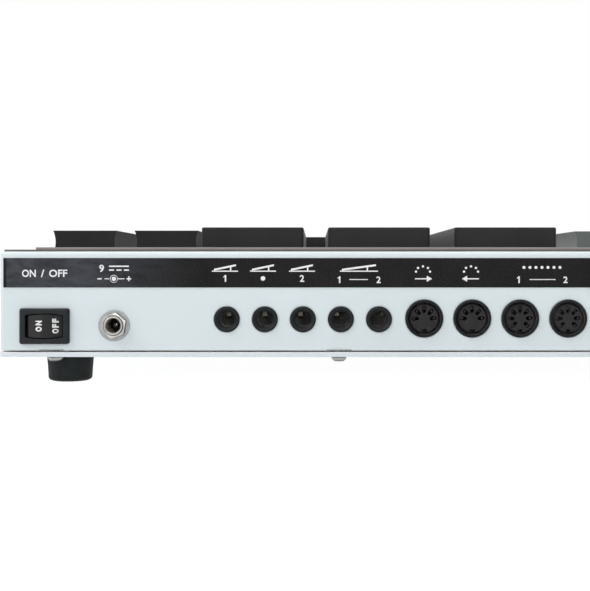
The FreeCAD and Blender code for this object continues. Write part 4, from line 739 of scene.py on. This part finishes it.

# Power inlet: a nickel-plated threaded bushing in a black moulded body, clamped to the wall by a
# washer and a chamfered hexagon nut. Its split centre pin stands deep in the bore, whose inner wall
# gets a light brownish colour as painted light against the shade.
nickel = make_finish("nickel", (0.37, 0.358, 0.335), (0.54, 0.525, 0.50), 3, 0.15, 0.006,
                     (0.24, 0.36), metallic=1.0, worn=(0.80, 0.79, 0.76), wear=(0.22, 1.2))
washer_zinc = make_finish("washer_zinc", (0.285, 0.298, 0.302), (0.36, 0.375, 0.38), 2, 0.15,
                          0.008, (0.35, 0.5), metallic=1.0)
phenolic = make_finish("brown_phenolic", (0.035, 0.026, 0.022), (0.055, 0.042, 0.036), 3, 0.2,
                       0.01, (0.45, 0.6), gloss=0.3)
dark_thread_and_painted_shade = make_finish("dark_thread_and_painted_shade", (0.05, 0.048, 0.045), (0.09, 0.086, 0.08), 2, 0.15,
                            0.006, (0.4, 0.55), gloss=0.15)
bore_painted_light = make_finish("inlet_bore_painted_light", (0.25, 0.22, 0.21), (0.36, 0.32, 0.30), 3, 0.2, 0.01,
                     (0.45, 0.6), gloss=0.3)
dress(dark_thread_and_painted_shade, "dc_jack_contact")
dress(phenolic, "dc_jack_body")


def darkened_sides(piece, finish):
    """The faces that don't look out of the wall get a dark, dull finish, which on the nut's flats is
    painted shade.
    """
    piece.data.materials.append(finish)
    for face in piece.data.polygons:
        if face.normal.y < 0.3:
            face.material_index = 1


inlet_x, inlet_z, inlet_roll = 360.1, 25.3, 20
washer_thickness, bushing_end = 0.6, 3.6
washer = turned("inlet_washer", [(4.1, 0), (6.6, 0), (6.6, 0.42), (6.42, washer_thickness),
                                 (4.25, washer_thickness), (4.1, 0.45)], closed=True, steps=72)
fit(facing_rear(washer, inlet_x, rear_y, inlet_z), washer_zinc, "nickel", "dc_jack_washer")

deselect()
bpy.ops.mesh.primitive_cylinder_add(vertices=6, radius=0.0056, depth=0.002, location=(0, 0, 0.001))
nut = bpy.context.object
bpy.ops.object.transform_apply(location=True, rotation=True, scale=True)
chamfer = turned("chamfer", [(0, -0.5), (5.48, -0.5), (5.48, 1.72), (4.7, 2.0), (0, 2.0)], steps=72)
hole = turned("hole", [(0, -1), (4.02, -1), (4.02, 1.72), (4.32, 2.05), (4.32, 3), (0, 3)], steps=48)
nut = cut_from(cut_from(nut, chamfer, "INTERSECT"), hole)
nut.name = "inlet_nut"
smooth_to(25)
facing_rear(nut, inlet_x, rear_y + washer_thickness, inlet_z, inlet_roll + 90)
fit(nut, nickel, "nickel", "dc_jack_nut")
darkened_sides(nut, dark_thread_and_painted_shade)

crest, root, thread_pitch = 3.99, 3.74, 0.5
bushing_profile = [(3.0, -8.0), (crest, -8.0)]
height = -7.8
while height < 3.2:
    bushing_profile += [(root, height + 0.2), (crest, height + 0.45)]
    height += thread_pitch
bushing_profile += [(3.8, 3.42), (3.7, bushing_end), (3.42, bushing_end), (3.0, 3.1)]
bushing = turned("inlet_bushing", bushing_profile, closed=True, steps=64)
facing_rear(bushing, inlet_x, rear_y, inlet_z)
fit(bushing, nickel, "nickel", "dc_jack_bushing")
darkened_sides(bushing, dark_thread_and_painted_shade)
# Painted light: the bushing's inner wall gets a light brownish colour that lifts the shade in the
# bore.
bushing.data.materials.append(bore_painted_light)
for face in bushing.data.polygons:
    off_axis = math.hypot(face.center.x - inlet_x / 1000, face.center.z - inlet_z / 1000)
    if abs(face.normal.y) < 0.3 and off_axis < 0.0033:
        face.material_index = 2

pin_radius, pin_length, pin_depth = 1.05, 11.4, 7.2
pin_profile = [(0, 0), (pin_radius, 0)]
for degrees in range(0, 91, 18):
    angle = math.radians(degrees)
    pin_profile.append((pin_radius * math.cos(angle), pin_length - 0.45 + 0.45 * math.sin(angle)))
pin = turned("inlet_pin", pin_profile, steps=32)
pin = cut_from(pin, block("slit", (-0.24, -2, 6.0), (0.24, 2, 12)))
smooth_to(35)
pin_foot = rear_y + bushing_end - pin_depth - pin_length
fit(facing_rear(pin, inlet_x, pin_foot, inlet_z, inlet_roll), nickel, "nickel", "dc_jack_pin")

# Pedal jacks: five black moulded housings whose noses pass the wall, each with a bevelled mouth.
# Bent spring leaves inside touch the plug's tip, ring and sleeve, and about 20 mm in, the thin
# end of a spring hangs in the bore and catches the light.
jack_x, jack_pitch, jack_z = 248.4, 16.05, 27.85
jack_black = make_finish("jack_black", (0.005, 0.0065, 0.007), (0.008, 0.0095, 0.010), 5, 0.25,
                         0.01, (0.42, 0.58), gloss=0.2)
# The distance from the nearest jack's axis tells the bevel and the bore from the nose's end. The
# bevel gets a painted lighter tone for the light it catches, and painted shade darkens it towards
# the bore.
tree = jack_black.node_tree
across = worked(tree, "SUBTRACT", along(tree, "X"), jack_x / 1000)
across = worked(tree, "PINGPONG", across, jack_pitch / 2000)
lift = worked(tree, "SUBTRACT", along(tree, "Z"), jack_z / 1000)
squares = [worked(tree, "MULTIPLY", part, part) for part in (across, lift)]
from_axis = worked(tree, "SQRT", worked(tree, "ADD", *squares))
for colour, start, end in (((0.0125, 0.0148, 0.0152), 0.0047, 0.0045),
                           ((0.007, 0.0075, 0.0075), 0.0042, 0.0034)):
    tint(jack_black, colour, ranged(tree, from_axis, start, end, smooth=True))
# Painted light: the plastic is laid lighter the deeper it lies in the bores, where little light
# gets.
for shade, start, end in ((0.085, 0.1838, 0.1815), (0.36, 0.1815, 0.1785), (0.88, 0.1785, 0.1755)):
    tint_along(jack_black, (shade, shade, shade * 0.97), "Y", start, end)
dress(jack_black, "pedal_jack_housings")
tin = make_finish("dull_tin", (0.60, 0.59, 0.57), (0.74, 0.73, 0.71), 2, 0.2, 0.006, (0.5, 0.65),
                  gloss=0.2)
dress(tin, "pedal_jack_contacts")
spring_nickel = make_finish("spring_nickel", (0.10, 0.093, 0.08), (0.19, 0.175, 0.15), 1.5, 0.15,
                            0.004, (0.2, 0.32), metallic=1.0)
finger_width, finger_thickness = 0.0022, 0.0003
finger = outline("finger", [(21.2, 6.25), (20.6, 4.4), (20.4, 3.3), (20.36, 2.4), (20.33, 1.5),
                            (20.32, 0.8), (20.33, 0.35), (20.45, 0.1), (20.7, 0.0)])
bpy.ops.mesh.extrude_region_move(TRANSFORM_OT_translate={"value": (0, finger_width, 0)})
bpy.ops.object.mode_set(mode="OBJECT")
finger.data.transform(Matrix.Rotation(math.radians(-90), 4, "Z"))
finger.data.transform(Matrix.Translation((-finger_width / 2, 0, 0)))
change(finger, "SOLIDIFY", thickness=finger_thickness)
bpy.ops.object.mode_set(mode="EDIT")
close_up(merge=False)
smooth_to(40)
off_centre = (-2.9, 1.5, 1.3, 0.9, 0.7)
fingers = set_out("spring_fingers", finger, [(jack_x + jack_pitch * number + aside, rear_y, jack_z)
                                             for number, aside in enumerate(off_centre)])
fit(fingers, spring_nickel, "contact_brass")

# Round multi-pin sockets: a black housing with a deep round pocket, and a dark grey insert with
# an oval slot for each pin and a key notch at the bottom. Two take five pins and two take seven.
socket_x, socket_pitch, socket_z = 229.3, 20.25, 28.2
socket_black = make_finish("socket_black", (0.004, 0.0053, 0.0058), (0.0065, 0.0085, 0.009), 5,
                           0.25, 0.01, (0.42, 0.58), gloss=0.14)
insert_grey = make_finish("insert_grey", (0.012, 0.0112, 0.011), (0.018, 0.017, 0.017), 4, 0.2,
                          0.01, (0.5, 0.62), gloss=0.2)
# The contacts deep in the slots are brass darkened almost to black as painted shade.
brass_in_painted_shade = make_finish("brass_in_painted_shade", (0.015, 0.013, 0.011), (0.085, 0.074, 0.06), 0.7, 0.15,
                         0.005, (0.25, 0.4), metallic=1.0)
# Painted light: behind their fronts both plastics are laid lighter, where little light gets.
tint_along(socket_black, (0.27, 0.275, 0.27), "Y", 0.1853, 0.1842)
tint_along(insert_grey, (0.20, 0.20, 0.196), "Y", 0.1850, 0.1841)
dress(socket_black, "din_bodies")
dress(brass_in_painted_shade, "din_contacts")


def oval_cutter(half_width, near, far, low, high):
    """An upright oval bar, wide across and long outwards, between two heights in millimetres."""
    deselect()
    bpy.ops.mesh.primitive_cylinder_add(vertices=20, radius=half_width / 1000,
                                        depth=(high - low) / 1000,
                                        location=(0, 0, (high + low) / 2000),
                                        rotation=(0, 0, math.radians(9)))
    bar = bpy.context.object
    bpy.ops.object.transform_apply(location=True, rotation=True, scale=True)
    for vertex in bar.data.vertices:
        vertex.co.y += (far - half_width if vertex.co.y > 0 else near + half_width) / 1000
    return bar


insert_profile = [(0, 0), (6.0, 0), (6.0, 8.5), (5.9, 8.8), (5.6, 9.0), (0, 9.0)]
insert_foot = rear_y + 1.2 - 9.5
inserts = []
for number, pins in enumerate((5, 5, 7, 7)):
    insert = turned("insert", insert_profile, steps=60)
    for step in range(-(pins // 2), pins // 2 + 1):
        slot = oval_cutter(0.9, 2.2, 5.3, 0.8, 10.3)
        slot.data.transform(Matrix.Rotation(math.radians(45 * step + 0.7), 4, "Z"))
        insert = cut_from(insert, slot)
    insert = cut_from(insert, block("key", (-1.2, -7.0, 1.2), (1.2, -4.5, 10)))
    smooth_to(30)
    inserts.append(facing_rear(insert, socket_x - socket_pitch * number, insert_foot, socket_z, 180))
fit(joined("socket_inserts", inserts), insert_grey, "bevel_grey", "din_inserts")

# Boards: green circuit boards for the sockets, the processor and the display, on hexagon
# standoffs under the deck, with box headers, black chips and small pan-head screws.
board_green = make_finish("solder_mask", (0.01, 0.09, 0.035), (0.02, 0.13, 0.05), 6, 0.2, 0.004,
                          (0.25, 0.4))
chip_black = make_finish("chip_epoxy", (0.012, 0.012, 0.014), (0.02, 0.02, 0.022), 4, 0.2, 0.01,
                         (0.5, 0.65))
dress(board_green, "jack_board", "main_board", "lcd_board")
dress(chip_black, "main_chips", "board_headers")
dress(nickel, "board_standoffs", "lcd_spacers")
dress(zinc, "board_screws")

# Wiring inside the case: flat cables between the boards and three insulated wires from the inlet
# and the switch. They are fixed runs inside a closed case, plain and dark.
cable_grey = make_finish("flat_cable", (0.22, 0.22, 0.23), (0.32, 0.32, 0.33), 3, 0.2, 0.01,
                         (0.5, 0.6))
lead_black = make_finish("lead_insulation", (0.02, 0.02, 0.02), (0.03, 0.03, 0.03), 4, 0.2, 0.01,
                         (0.4, 0.5))
dress(cable_grey, "ribbon_cable", "lcd_cable")
dress(lead_black, "power_leads")
